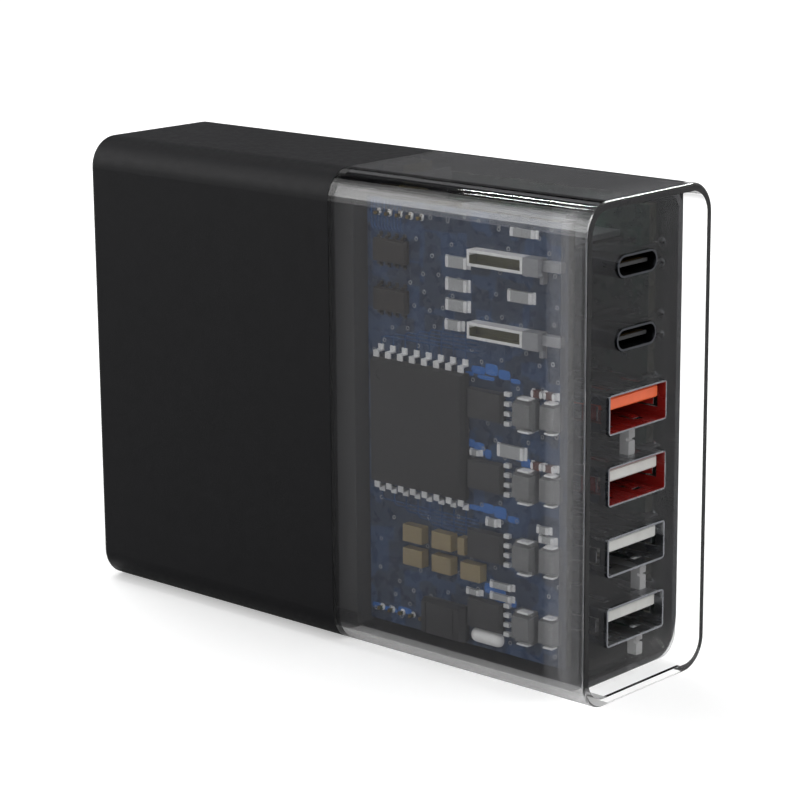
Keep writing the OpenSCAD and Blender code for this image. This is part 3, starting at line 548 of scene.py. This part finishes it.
def via_tree():
    """Tinned rings of plated holes, spread at random but never crowded."""
    tree, entry = new_tree(
        "vias", [("Radius", "Float", 0.25 * MM), ("Spacing", "Float", 2.0 * MM), ("Seed", "Int", 7)]
    )
    spots = put(
        tree, "GeometryNodeDistributePointsOnFaces",
        {"distribute_method": "POISSON", "Density Max": 150000.0},
        {
            "Mesh": entry.outputs["Geometry"],
            "Distance Min": entry.outputs["Spacing"],
            "Seed": entry.outputs["Seed"],
        },
    )
    ring = put(
        tree, "GeometryNodeCurvePrimitiveCircle", {"Resolution": 12}, {"Radius": entry.outputs["Radius"]}
    ).outputs[0]
    lip = put(
        tree, "ShaderNodeMath", {"operation": "MULTIPLY", 1: 0.3}, {0: entry.outputs["Radius"]}
    ).outputs[0]
    profile = put(tree, "GeometryNodeCurvePrimitiveCircle", {"Resolution": 6}, {"Radius": lip}).outputs[0]
    torus = put(tree, "GeometryNodeCurveToMesh", None, {"Curve": ring, "Profile Curve": profile}).outputs[0]
    smooth = put(tree, "GeometryNodeSetShadeSmooth", None, {"Geometry": torus}).outputs[0]
    points = put(tree, "GeometryNodeInstanceOnPoints", {"Rotation": (math.pi / 2, 0, 0)}, {
        "Points": spots.outputs["Points"], "Instance": smooth,
    })
    return end_tree(tree, entry, points.outputs[0])


def grow(name, verts, tree, values, edges=(), faces=(), sizes=None):
    """Runs a tree on some points, edges or faces, and keeps the result as a plain piece on the body.

    Its sizes, one for each point, are what block_tree reads as block_size."""
    mesh = bpy.data.meshes.new(name + "_base")
    mesh.from_pydata([list(v) for v in verts], edges, faces)
    if sizes:
        attribute = mesh.attributes.new("block_size", "FLOAT_VECTOR", "POINT")
        attribute.data.foreach_set("vector", [c for size in sizes for c in size])
    base = bpy.data.objects.new(name + "_base", mesh)
    bpy.context.scene.collection.objects.link(base)
    modifier = base.modifiers.new("grow", "NODES")
    modifier.node_group = tree
    for item in tree.interface.items_tree:
        if item.in_out == "INPUT" and item.name in values:
            modifier[item.identifier] = values[item.name]
    bpy.context.view_layer.update()
    evaluated = base.evaluated_get(bpy.context.evaluated_depsgraph_get())
    made = bpy.data.meshes.new_from_object(evaluated)
    bpy.data.objects.remove(base)
    if not made.polygons:
        raise RuntimeError(name + " came out empty")
    made.name = name
    piece = bpy.data.objects.new(name, made)
    bpy.context.scene.collection.objects.link(piece)
    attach(piece, BODY)


# Layout

# Painted light on the converter board: bright blue patches between the chips where it catches light, each a
# few overlapping fields: x, z, width and height in millimetres
LIT_PATCHES = (
    (24.6, 43.6, 1.6, 0.6), (26.2, 44.3, 2.6, 1.2), (28.6, 44.7, 2.4, 1.7), (30.9, 44.3, 2.2, 1.4),
    (32.9, 43.7, 1.8, 0.7), (27.6, 43.4, 3.2, 0.6), (24.9, 33.6, 1.4, 1.2), (26.4, 33.0, 2.0, 1.9),
    (28.0, 32.5, 1.2, 1.4), (33.6, 33.0, 1.4, 1.2), (34.8, 32.3, 1.8, 1.6), (25.6, 24.3, 2.2, 0.8),
    (27.8, 24.6, 2.6, 1.5), (30.2, 24.4, 2.4, 1.8), (32.6, 23.8, 2.2, 1.0), (28.4, 12.9, 2.2, 1.6),
    (30.2, 12.2, 2.4, 2.0), (32.4, 11.6, 1.6, 1.2), (6.9, 5.9, 2.2, 0.9), (9.3, 5.8, 3.0, 0.7),
    (12.2, 6.2, 2.8, 1.0), (13.6, 5.7, 1.2, 0.5),
)


def level(left, near, right, far, height):
    """The corners of a level sheet."""
    return [(left, near, height), (right, near, height), (right, far, height), (left, far, height)]


def upright(start, end, low, high):
    """The corners of a sheet that stands between two places of the floor."""
    return [(*start, low), (*end, low), (*end, high), (*start, high)]


# Operators


class CHARGER_OT_housing(bpy.types.Operator):
    """Finish the black housing, the clear sleeve, the smoked liner and the port panel"""

    bl_idname = "charger.housing"
    bl_label = "Housing"

    def execute(self, context):
        s = context.scene.charger_housing
        # Moulded ABS from a spark-eroded tool: a dead even black whose grain breaks up every reflection
        dress(moulded_plastic("moulded_abs_black", s.black, 0.5, s.grain, 0.006 * MM, 1.25), "rear_housing")
        # Clear polycarbonate, polished: all but colourless, it shows as its reflections
        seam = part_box("front_sleeve")[0].x
        dress(clear_moulding("polished_polycarbonate_clear", s.clear_ior, seam), "front_sleeve")
        # Smoked polycarbonate, polished: the tint that dims the boards, painted paler along its last 3.2 mm
        # as painted light by the rim
        low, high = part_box("smoked_liner")
        band = ((high.x - 3.2 * MM, low.y - MM, low.z - MM), (high.x + MM, high.y + MM, high.z + MM))
        dress(
            smoked_moulding("polished_polycarbonate_smoked", s.smoke, s.liner_solid, band, "#727274", 0.05),
            "smoked_liner",
        )
        # The panel is the same plastic, thicker, darker and less polished, painted paler along its near 2.6
        # mm as painted light by the rim
        low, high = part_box("port_panel")
        band = ((low.x - MM, low.y - MM, low.z - MM), (high.x + MM, low.y + 2.6 * MM, high.z + MM))
        dress(
            smoked_moulding("panel_polycarbonate_smoked", s.smoke, s.panel_solid, band, "#626264", 0.18),
            "port_panel",
        )
        # Insulation sheet: dull and plain
        dress(moulded_plastic("insulation_polycarbonate_black", linear("#18181a"), 0.6), "insulation_barrier")
        # Nylon of the inlet, glass filled, slightly silky
        dress(moulded_plastic("glass_filled_nylon_black", linear("#141416"), 0.4), "inlet_body")
        # Nickel on turned brass: bright, a little warm
        dress(metal("nickel_plated_brass", "#c9c6bd", 0.2), "inlet_pins")
        # Thinly tinned copper: the copper's warmth still shows
        dress(metal("tinned_copper_wire", "#b98a5c", 0.3), "inlet_leads")
        return {"FINISHED"}


class CHARGER_OT_ports(bpy.types.Operator):
    """Finish the wide and the oval ports"""

    bl_idname = "charger.ports"
    bl_label = "Ports"

    def execute(self, context):
        s = context.scene.charger_ports
        bright_steel = plated_steel("nickel_plated_steel")
        # Gold flash on bronze: warm and bright
        gold = metal("gold_plated_bronze", "#e0b45a", 0.22)
        for n in WIDE_PORTS:
            # Liquid crystal polymer, moulded: matt and even, orange in the top port
            colour = s.fast if n == 1 else s.plain
            insulator = moulded_plastic("moulded_liquid_crystal_polymer_%d" % n, colour, 0.38, 0.2 * MM)
            steel = self.line(n, insulator, s.lining) if n in FAST_PORTS else bright_steel
            dress(steel, "usb_a_shell_%d" % n)
            dress(insulator, "usb_a_tongue_%d" % n)
            dress(gold, "usb_a_contacts_%d" % n)
        # Gilding painted a dim brown gold: painted shade inside the oval ports
        dim_gold = metal("shaded_gilt_bronze", "#5c4c30", 0.35)
        # Black nickel: the same pressed steel, plated dark
        dark_steel = plated_steel("black_nickel_steel", "#505256", 0.22)
        # Black nylon: dark, slightly silky
        tongue = moulded_plastic("moulded_nylon_black", linear("#1c1c1e"), 0.4)
        for n in OVAL_PORTS:
            dress(dark_steel, "usb_c_shell_%d" % n)
            dress(tongue, "usb_c_tongue_%d" % n)
            dress(dim_gold, "usb_c_contacts_%d" % n)
        # White nylon: plain and milky
        dress(moulded_plastic("moulded_nylon_white", linear("#ffffff"), 0.5), "port_spacers")
        return {"FINISHED"}

    def line(self, n, insulator, lining):
        """Lines a fast port in red, at its back and inside its shell, and returns the shell's steel."""
        low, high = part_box("usb_a_shell_%d" % n)
        body_low, body_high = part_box("usb_a_tongue_%d" % n)
        steel = plated_steel("nickel_plated_steel_lined_%d" % n)
        tree = steel.node_tree
        slack = 0.1 * MM
        inside = inside_box(
            tree,
            (low.x - MM, body_low.y - slack, body_low.z - slack),
            (high.x + MM, body_high.y + slack, body_high.z + slack),
        )
        paint(steel, inside, lining)
        # The lining is plastic, so the steel shows as metal only outside it
        bare = put(tree, "ShaderNodeMath", {"operation": "SUBTRACT", 0: 1.0}, {1: inside}).outputs[0]
        tree.links.new(bare, tree.nodes["Principled BSDF"].inputs["Metallic"])
        block = 3.55 * MM
        margin = Vector((MM, MM, MM))
        back = inside_box(insulator.node_tree, body_low - margin, (low.x + block, high.y, high.z))
        paint(insulator, back, lining)
        return steel


class CHARGER_OT_boards(bpy.types.Operator):
    """Finish both boards"""

    bl_idname = "charger.boards"
    bl_label = "Boards"

    def execute(self, context):
        s = context.scene.charger_boards
        # Glass fibre and resin at the cut edges, seen through the smoke: dark olive
        laminate = linear("#2b2b1b")
        for node, mask in (("converter_board", s.mask), ("main_board", s.main_mask)):
            low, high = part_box(node)
            dress(coated_board("glass_fibre_" + node, mask, laminate, low.y, high.y), node)
        return {"FINISHED"}


class CHARGER_OT_parts(bpy.types.Operator):
    """Finish the parts on the boards"""

    bl_idname = "charger.parts"
    bl_label = "Parts on the boards"

    def execute(self, context):
        # Transfer-moulded epoxy: near black, its silica filler a fine grain
        for name, colour, rough, node in (
            ("moulded_epoxy", "#19191a", 0.55, "controller_body"),
            ("moulded_epoxy_brown", "#2b241f", 0.5, "driver_chips"),
            ("moulded_epoxy_grey", "#363638", 0.5, "port_chips"),
        ):
            dress(moulded_plastic(name, linear(colour), rough, 0.07 * MM), node)
        # Tinned leads: the palest things on the board
        dress(matte_tin("matte_tin_on_copper"), "controller_leads", "port_chip_leads")
        self.bars()
        # Satin nickel: a soft grey beside the bars
        dress(matte_tin("satin_nickel_clamp", "#a2a4a8"), "bar_clamps")
        # Iron powder bound in resin, tumbled: dull light grey cases
        dress(ceramic("bound_iron_powder", "#7f8081", 0.4), "filter_chokes", "polymer_capacitors")
        # Drawn aluminium: bright cans
        dress(metal("drawn_aluminium_can", "#b8babd", 0.3), "output_capacitors")
        # Rolled aluminium: a smooth satin sheet
        sheet = metal("rolled_aluminium_sheet", "#c6c9cc", 0.34, 0.3 * MM, 0.0008 * MM)
        dress(sheet, "heat_spreader", "switch_heatsink")
        # Fired chips: matt, each kind in its own earth tone
        dress(ceramic("multilayer_ceramic_tan", "#93835f"), "tan_capacitors")
        dress(ceramic("multilayer_ceramic_brown", "#5e2b23"), "ceramic_capacitors")
        dress(ceramic("alumina_chip", "#aeb0b2"), "chip_resistors")
        # Pressed iron powder under black paint: dark and grainy
        dress(ceramic("pressed_iron_powder", "#212124"), "boost_inductor")
        # Nylon header: plain black under the pins
        dress(moulded_plastic("header_nylon_black", linear("#101012"), 0.45), "link_headers")
        # Gold flash: the warm row of pins seen through the top
        dress(metal("gold_flashed_pins", "#d6b56a", 0.22), "link_pins")
        # Polyester film box: a dim yellow in the liner's shade
        dress(moulded_plastic("polyester_film_yellow", linear("#4c4220"), 0.3), "film_capacitor")
        # Silicone bead: white and uneven, as it was squeezed on
        bead = moulded_plastic("silicone_white", linear("#ffffff"), 0.5, 0.4 * MM, 0.01 * MM)
        dress(bead, "fixing_bead")
        return {"FINISHED"}

    def bars(self):
        """Tin-plated folded bars, bright at the rim, with olive painted shade in each bar's pocket below it.
        """
        bar = matte_tin("matte_tin_on_bar", "#ffffff")
        tree = bar.node_tree
        shaded_fold = None
        for solid in solids_of("output_bars"):
            low, high = corners(solid)
            # The upper third of each bar stays bright at its rim; below it the bar takes painted shade
            top = high.z - 0.34 * (high.z - low.z)
            one = inside_box(tree, (low.x, low.y + 0.1 * MM, low.z), (high.x, high.y, top))
            shaded_fold = one if shaded_fold is None else put(
                tree, "ShaderNodeMath", {"operation": "MAXIMUM"}, {0: shaded_fold, 1: one}
            ).outputs[0]
        # Painted shade: olive in the lower two thirds of each bar, behind its near face
        paint(bar, shaded_fold, linear("#605e43"))
        dress(bar, "output_bars")


class CHARGER_OT_mains_side(bpy.types.Operator):
    """Finish the parts of the mains side, which the black housing hides"""

    bl_idname = "charger.mains_side"
    bl_label = "Mains side"

    def execute(self, context):
        # Sintered ferrite: dark grey, matt, finely pitted
        dress(ceramic("sintered_ferrite", "#3a3a3d", 0.6), "transformer_core", "choke_core")
        # Enamelled copper: a warm gloss along the windings
        dress(metal("enamelled_copper", "#b5652b", 0.25), "choke_windings")
        # Fired fuse body: off-white
        dress(ceramic("ceramic_fuse_white", "#cfcabb"), "fuse")
        # Resins, films and tapes, a film or a dip glossier than a moulding: name, colour, roughness, nodes
        for name, colour, rough, nodes in (
            ("phenolic_black", "#1c1c1e", 0.45, ("transformer_bobbin",)),
            ("polyester_tape_yellow", "#c9a227", 0.3, ("transformer_winding",)),
            ("shrunk_sleeve_blue", "#22303c", 0.3, ("bulk_capacitors",)),
            ("polypropylene_box_yellow", "#c2a02c", 0.4, ("interference_capacitor",)),
            ("moulded_epoxy_black", "#222224", 0.5, ("bridge_rectifier", "power_switch")),
            ("dipped_epoxy_blue", "#2d62a8", 0.25, ("disc_capacitor",)),
        ):
            dress(moulded_plastic(name, linear(colour), rough), *nodes)
        return {"FINISHED"}


class CHARGER_OT_solder(bpy.types.Operator):
    """Add the solder joints, the chips' tinned ends and their pads"""

    bl_idname = "charger.solder"
    bl_label = "Solder"

    def execute(self, context):
        tin = matte_tin("matte_tin_solder")
        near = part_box("converter_board")[0].y
        self.joints(near, tin)
        self.terminals(near, tin)
        return {"FINISHED"}

    def joints(self, near, tin):
        """Cones round every leg behind the main board, and round the link pins' near ends."""
        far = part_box("main_board")[1].y
        legs = []
        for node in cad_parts:
            if node.startswith(("usb_a_shell", "usb_a_contacts", "usb_c_shell", "link_pins", "inlet_leads")):
                legs += tips(node, far + 0.05 * MM)
        cones = solder_tree()
        # Wave solder: greyer than plated tin
        dull = metal("tin_solder", "#7d8084", 0.35)
        values = {"Radius": 0.7 * MM, "Height": 0.55 * MM, "Turn": -math.pi / 2, "Seed": 3, "Material": dull}
        grow("far_solder", [(p.x, far, p.z) for p in legs], cones, values)
        pins = [sum(corners(s), Vector()) / 2 for s in solids_of("link_pins")]
        values.update({"Turn": math.pi / 2, "Radius": 0.5 * MM, "Material": tin})
        grow("near_solder", [(p.x, near, p.z) for p in pins], cones, values)

    def terminals(self, near, tin):
        """Tinned ends of the chips and cases, and the pads under chips and leads."""
        spots, sizes = [], []
        # The tin stands proud of a chip's end by its skin
        skin = 0.04 * MM
        pad_thick, pad_long, pad_margin = 0.1 * MM, 0.6 * MM, 0.08 * MM
        for node in ("chip_resistors", "ceramic_capacitors"):
            for solid in solids_of(node):
                low, high = corners(solid)
                middle, size = (low + high) / 2, high - low
                axis = 0 if size.x >= size.z else 2
                cap = min(0.24 * size[axis], 0.55 * MM)
                for side in (-1, 1):
                    spot = middle.copy()
                    spot[axis] += side * (size[axis] / 2 - cap / 2 + skin / 2)
                    spot.y -= skin / 2
                    extent = [size.x + 2 * skin, size.y + skin, size.z + 2 * skin]
                    extent[axis] = cap + skin
                    spots.append(spot)
                    sizes.append(extent)
                    pad = middle.copy()
                    pad[axis] += side * (size[axis] / 2 + 0.1 * MM)
                    pad.y = near - pad_thick / 2
                    extent = [size.x + 2 * pad_margin, pad_thick, size.z + 2 * pad_margin]
                    extent[axis] = pad_long
                    spots.append(pad)
                    sizes.append(extent)
        # The metal cases' terminals wrap over their upper and lower ends
        for node in ("filter_chokes", "polymer_capacitors"):
            for solid in solids_of(node):
                low, high = corners(solid)
                middle, size = (low + high) / 2, high - low
                for end in (low.z - skin / 2, high.z + skin / 2):
                    spots.append(Vector((middle.x + 0.1 * size.x, low.y + 0.35 * size.y, end)))
                    sizes.append([0.62 * size.x, 0.66 * size.y, 0.3 * MM])
        # Each controller lead's foot stands on a thin pad
        foot, thin = 0.3 * MM, 0.06 * MM
        for solid in solids_of("controller_leads"):
            low, high = corners([p for p in solid if p.y > near - foot])
            spots.append(Vector(((low.x + high.x) / 2, near - thin / 2, (low.z + high.z) / 2)))
            sizes.append([0.8 * MM, thin, 0.5 * MM])
        values = {"Rounding": 0.12, "Material": tin}
        grow("chip_terminals", spots, block_tree(), values, sizes=sizes)


class CHARGER_OT_traces(bpy.types.Operator):
    """Add the traces and vias of the boards"""

    bl_idname = "charger.traces"
    bl_label = "Traces and vias"

    def execute(self, context):
        s = context.scene.charger_boards
        low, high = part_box("converter_board")
        face = low.y
        self.lit_patches(face)
        self.lines(s, face, low.x / MM, high.z / MM)
        self.vias(s)
        return {"FINISHED"}

    def lit_patches(self, face):
        """Bright blue patches between the chips: painted light where the board catches light, drawn as solder
        mask over copper.
        """
        spots = [(x * MM, face, z * MM) for x, z, wide, tall in LIT_PATCHES]
        sizes = [(wide * MM, 0.05 * MM, tall * MM) for x, z, wide, tall in LIT_PATCHES]
        # Painted light: solder mask in the clearest blue on the board
        bright = moulded_plastic("solder_mask_painted_lit", linear("#3b74c0"), 0.25)
        values = {"Rounding": 0.3, "Material": bright}
        grow("board_lit_patches", spots, block_tree(), values, sizes=sizes)

    def lines(self, s, face, left, top):
        """Traces from the board's upper left corner, in millimetres, and from the controller's leads."""
        verts, edges = [], []

        def run(*points):
            start = len(verts)
            verts.extend((x * MM, face, z * MM) for x, z in points)
            edges.extend((start + i, start + i + 1) for i in range(len(points) - 1))

        # A comb of parallel traces at the board's top corner
        for i in range(10):
            x = left + 0.8 + i * 0.62
            run((x, top - 0.5), (x, top - 4.0), (x + 0.4, top - 4.5))
        # Each controller lead's trace leaves it outwards, then bends towards the ports
        controller_low, controller_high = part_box("controller_body")
        middle, end = controller_low.z + controller_high.z, controller_high.x / MM + 1.5
        for i, solid in enumerate(solids_of("controller_leads")):
            a, b = corners(solid)
            x, up = (a.x + b.x) / 2 / MM, (a.z + b.z) / 2 > middle / 2
            z = (b.z if up else a.z) / MM
            step = (1 if up else -1) * (1.0 + 0.45 * (i // 2))
            run((x, z), (x, z + step), (x + 0.5, z + step * 1.2), (end, z + step * 1.2))
        # Solder mask over a narrow trace: a paler blue line
        coat = moulded_plastic("solder_mask_over_copper", shade(s.mask, 3.2), 0.25)
        values = {"Half Width": s.trace, "Material": coat}
        grow("board_traces", verts, trace_tree(), values, edges=edges)

    def vias(self, s):
        """Tinned rings over both boards' outer faces, short of their edges."""
        # Tin in a plated hole: a small grey ring
        tin = matte_tin("matte_tin_via", "#9ea2a6")
        rings = via_tree()
        inset = 1.0 * MM
        values = {"Radius": s.via, "Spacing": 2.3 * MM, "Seed": s.via_seed, "Material": tin}
        for name, node, side in (("converter_vias", "converter_board", 0), ("main_vias", "main_board", 1)):
            low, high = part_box(node)
            y = (low, high)[side].y
            left, right = low.x + inset, high.x - inset
            bottom, top = low.z + inset, high.z - inset
            sheet = [(left, y, bottom), (right, y, bottom), (right, y, top), (left, y, top)]
            grow(name, sheet, rings, values, faces=[(0, 1, 2, 3)])


class CHARGER_OT_stage(bpy.types.Operator):
    """Set the camera, the floor, the lamps and the even light"""

    bl_idname = "charger.stage"
    bl_label = "Studio"

    def execute(self, context):
        s = context.scene.charger_stage
        scene = context.scene
        scene.view_settings.view_transform = "Standard"
        # Light crosses sleeve, liner and panel twice over
        scene.cycles.transparent_max_bounces = 32
        scene.cycles.max_bounces = scene.cycles.transmission_bounces = 24
        self.camera(scene, s)
        self.world(scene, s)
        self.floor(s)
        self.cards(scene)
        self.lamps(scene)
        return {"FINISHED"}

    def camera(self, scene, s):
        """The photograph's view."""
        azimuth, elevation, roll = (math.radians(a) for a in (41.982, 13.782, -0.44))
        flat = math.cos(elevation)
        back = Vector((math.sin(azimuth) * flat, -math.cos(azimuth) * flat, math.sin(elevation)))
        right = Vector((math.cos(azimuth), math.sin(azimuth), 0))
        up = back.cross(right)
        # How far the lens stands back from the object's middle, and aside and down to frame it, in mm
        away, aside, down = 403.6, 2.07, 1.15
        middle = Vector((0, 0, 35.22 * MM))
        across = right * math.cos(roll) + up * math.sin(roll)
        along = up * math.cos(roll) - right * math.sin(roll)
        camera = bpy.data.objects.new("camera", bpy.data.cameras.new("camera"))
        camera.matrix_world = Matrix((across, along, back)).transposed().to_4x4()
        camera.location = middle + back * away * MM + right * aside * MM - up * down * MM
        camera.data.lens = s.lens
        camera.data.clip_start, camera.data.clip_end = 0.01, 30
        scene.collection.objects.link(camera)
        scene.camera = camera

    def world(self, scene, s):
        """White for eye, mirror and glass, an even grey for light."""
        world = bpy.data.worlds.new("studio")
        world.use_nodes = True
        scene.world = world
        tree = world.node_tree
        strength = put(
            tree, "ShaderNodeMapRange", {"To Min": s.surround, "To Max": 1.0}, {"Value": seen_white(tree)}
        )
        background = tree.nodes["Background"]
        background.inputs["Color"].default_value = (1, 1, 1, 1)
        tree.links.new(strength.outputs["Result"], background.inputs["Strength"])

    def floor(self, s):
        """A wide white floor that keeps the object's shadow."""
        mesh = bpy.data.meshes.new("floor")
        reach = 12
        mesh.from_pydata(level(-reach, -reach, reach, reach, 0), [], [(0, 1, 2, 3)])
        floor = bpy.data.objects.new("floor", mesh)
        bpy.context.scene.collection.objects.link(floor)
        sockets = {"Base Color": s.floor, "Roughness": 0.9, "Specular IOR Level": 0.0}
        material, tree, shader = new_material("painted_board_white", sockets)
        # Lifts the lit floor to white for the eye, and lights nothing
        lift = put(tree, "ShaderNodeMath", {"operation": "MULTIPLY", 1: 0.39}, {0: seen_white(tree)})
        shader.inputs["Emission Color"].default_value = (1, 1, 1, 1)
        tree.links.new(lift.outputs[0], shader.inputs["Emission Strength"])
        mesh.materials.append(material)

    def cards(self, scene):
        """Cards that only reflections and refractions see.

        Dark ones stand where the wide faces look, and bright ones where the edges do. Those under and round
        the body are painted shadow and shade seen through its clear walls."""
        # Flags on the floor lie this high, and the shadow cards lower, so that no two share a plane
        lift = 0.2 * MM
        under = lift / 4
        # Just short of the object's near face
        near = -0.0145
        # The line of the two gleams in front
        gleam = ((-1.4, -0.5), (-0.1, -1.3))
        # A dark card bent round the body's underside and far side, short of the clear rim, in mm: painted
        # shade seen through the clear walls
        centre_y, centre_z, radius = 8, 6.45, 6.4
        turns = [i * math.pi / 16 for i in range(9)]
        bend = [(centre_y + radius * math.sin(a), centre_z - radius * math.cos(a)) for a in turns]
        profile = [(-7.8, 0.05), *bend, (14.4, 71)]
        bent = [(x * MM, y * MM, z * MM) for y, z in profile for x in (-48, 43.6)]
        # Name, tint, own light and corners
        for name, tint, glow, places in (
            ("flag_high", "#2e2e30", 0, [
                (-1.2, -0.25, 0.95), (-1.2, -0.25, 2.4), (-1.2, 2.4, 2.4),
                (-1.2, 2.4, 0.72), (-1.2, 0.4, 0.72),
            ]),
            ("flag_back", "#767678", 0, [
                (-1.2, 0.4, 0.1), (-1.2, 0.4, 0.71), (-1.2, 2.4, 0.71), (0.3, 2.4, 0.71), (0.3, 2.4, 0.1),
            ]),
            ("flag_front", "#a0a0a2", 0, level(-0.9, -0.9, 0.9, near, lift)),
            ("flag_side", "#dcdcde", 0, level(0.053, near, 0.9, 0.9, lift)),
            ("gleam_front", "#ffffff", 2.5, upright(*gleam, 0.22, 0.62)),
            ("gleam_high", "#ffffff", 2.2, upright(*gleam, 0.62, 1.15)),
            ("gleam_streak", "#ffffff", 30, [
                (-1.1, 0.32, 1.365), (-1.1, 0.42, 1.365), (-1.1, 0.5, 1.51), (-1.1, 0.4, 1.51),
            ]),
            ("gleam_rim", "#ffffff", 26, [
                (-0.06, 0.57, 0.71), (0.5, 0.57, 0.71), (0.5, 0.73, 0.53), (-0.06, 0.73, 0.53),
            ]),
            ("gleam_corner", "#ffffff", 9, [
                (0.16, -0.75, 0.77), (0.95, -0.42, 0.24), (0.95, 0.0, 0.5), (0.16, -0.32, 1.03),
            ]),
            ("flag_right", "#101012", 0, upright((0.4, -1.6), (1.6, -0.5), 0.03, 0.42)),
            # Painted shade round the body's underside and far side, seen through the clear walls
            ("shade_card_bent", "#202022", 0, bent),
            # Painted contact shadow under the body: a grey card that glows a little under the near side, and
            # a dark line under the rim
            ("shadow_card_near", "#b0b0b0", 0.25, level(-0.048, near, 0.0483, -0.0078, under)),
            ("shadow_card_rim", "#101012", 0, level(0.0473, -0.0092, 0.0479, 0.0092, under)),
        ):
            mesh = bpy.data.meshes.new(name)
            faces = [range(len(places))]
            if places is bent:
                faces = [(i, i + 1, i + 3, i + 2) for i in range(0, len(bent) - 2, 2)]
            mesh.from_pydata(places, [], faces)
            sockets = {
                "Base Color": linear(tint), "Roughness": 1.0, "Specular IOR Level": 0.0,
                "Emission Color": linear(tint), "Emission Strength": glow,
            }
            mesh.materials.append(new_material(name + "_paper", sockets)[0])
            card = bpy.data.objects.new(name, mesh)
            card.visible_camera = card.visible_diffuse = card.visible_shadow = False
            scene.collection.objects.link(card)

    def lamps(self, scene):
        """Three soft lamps round the object's middle. The one overhead shows in no reflection."""
        aim = Vector((0, 0, 0.035))
        # Name, direction, distance and size in metres, and watts
        for name, way, reach, size, watts in (
            ("overhead_softbox", (-0.62, 0.1, 0.78), 0.9, (0.45, 0.9), 3.8),
            ("front_softbox", (0.75, -0.45, 0.5), 1.1, (0.7, 0.7), 1.2),
            ("back_strip", (0.25, 0.72, 0.65), 0.9, (0.6, 0.25), 1.2),
        ):
            light = bpy.data.lights.new(name, "AREA")
            light.shape = "RECTANGLE"
            light.size, light.size_y = size
            light.energy = watts
            lamp = bpy.data.objects.new(name, light)
            way = Vector(way).normalized()
            lamp.location = aim + way * reach
            lamp.rotation_euler = way.to_track_quat("Z", "Y").to_euler()
            lamp.visible_glossy = lamp.visible_transmission = name != "overhead_softbox"
            scene.collection.objects.link(lamp)


class CHARGER_PT_panel(bpy.types.Panel):
    """Lists the steps and the settings"""

    bl_idname = "CHARGER_PT_panel"
    bl_label = "Desktop Charger"
    bl_space_type = "VIEW_3D"
    bl_region_type = "UI"
    bl_category = "Charger"

    def draw(self, context):
        for operator in OPERATORS:
            self.layout.operator(operator.bl_idname)
        for name in SETTINGS:
            group = getattr(context.scene, name)
            for key in group.bl_rna.properties.keys():
                if key not in ("rna_type", "name"):
                    self.layout.prop(group, key)


SETTINGS = {
    "charger_housing": HousingSettings,
    "charger_ports": PortSettings,
    "charger_boards": BoardSettings,
    "charger_stage": StageSettings,
}
OPERATORS = (
    CHARGER_OT_housing,
    CHARGER_OT_ports,
    CHARGER_OT_boards,
    CHARGER_OT_parts,
    CHARGER_OT_mains_side,
    CHARGER_OT_solder,
    CHARGER_OT_traces,
    CHARGER_OT_stage,
)


def register():
    """Registers the classes and gives the scene its settings."""
    for kind in (*SETTINGS.values(), *OPERATORS, CHARGER_PT_panel):
        bpy.utils.register_class(kind)
    for name, kind in SETTINGS.items():
        setattr(bpy.types.Scene, name, PointerProperty(type=kind))


def unregister():
    """Takes the settings and the classes away again."""
    for name in SETTINGS:
        delattr(bpy.types.Scene, name)
    for kind in (CHARGER_PT_panel, *reversed(OPERATORS), *reversed(SETTINGS.values())):
        bpy.utils.unregister_class(kind)


def main():
    """Runs every step in order."""
    register()
    bpy.ops.charger.stage()
    bpy.ops.charger.housing()
    bpy.ops.charger.ports()
    bpy.ops.charger.boards()
    bpy.ops.charger.parts()
    bpy.ops.charger.mains_side()
    bpy.ops.charger.solder()
    bpy.ops.charger.traces()
    bpy.context.view_layer.update()


if __name__ == "__main__":
    main()
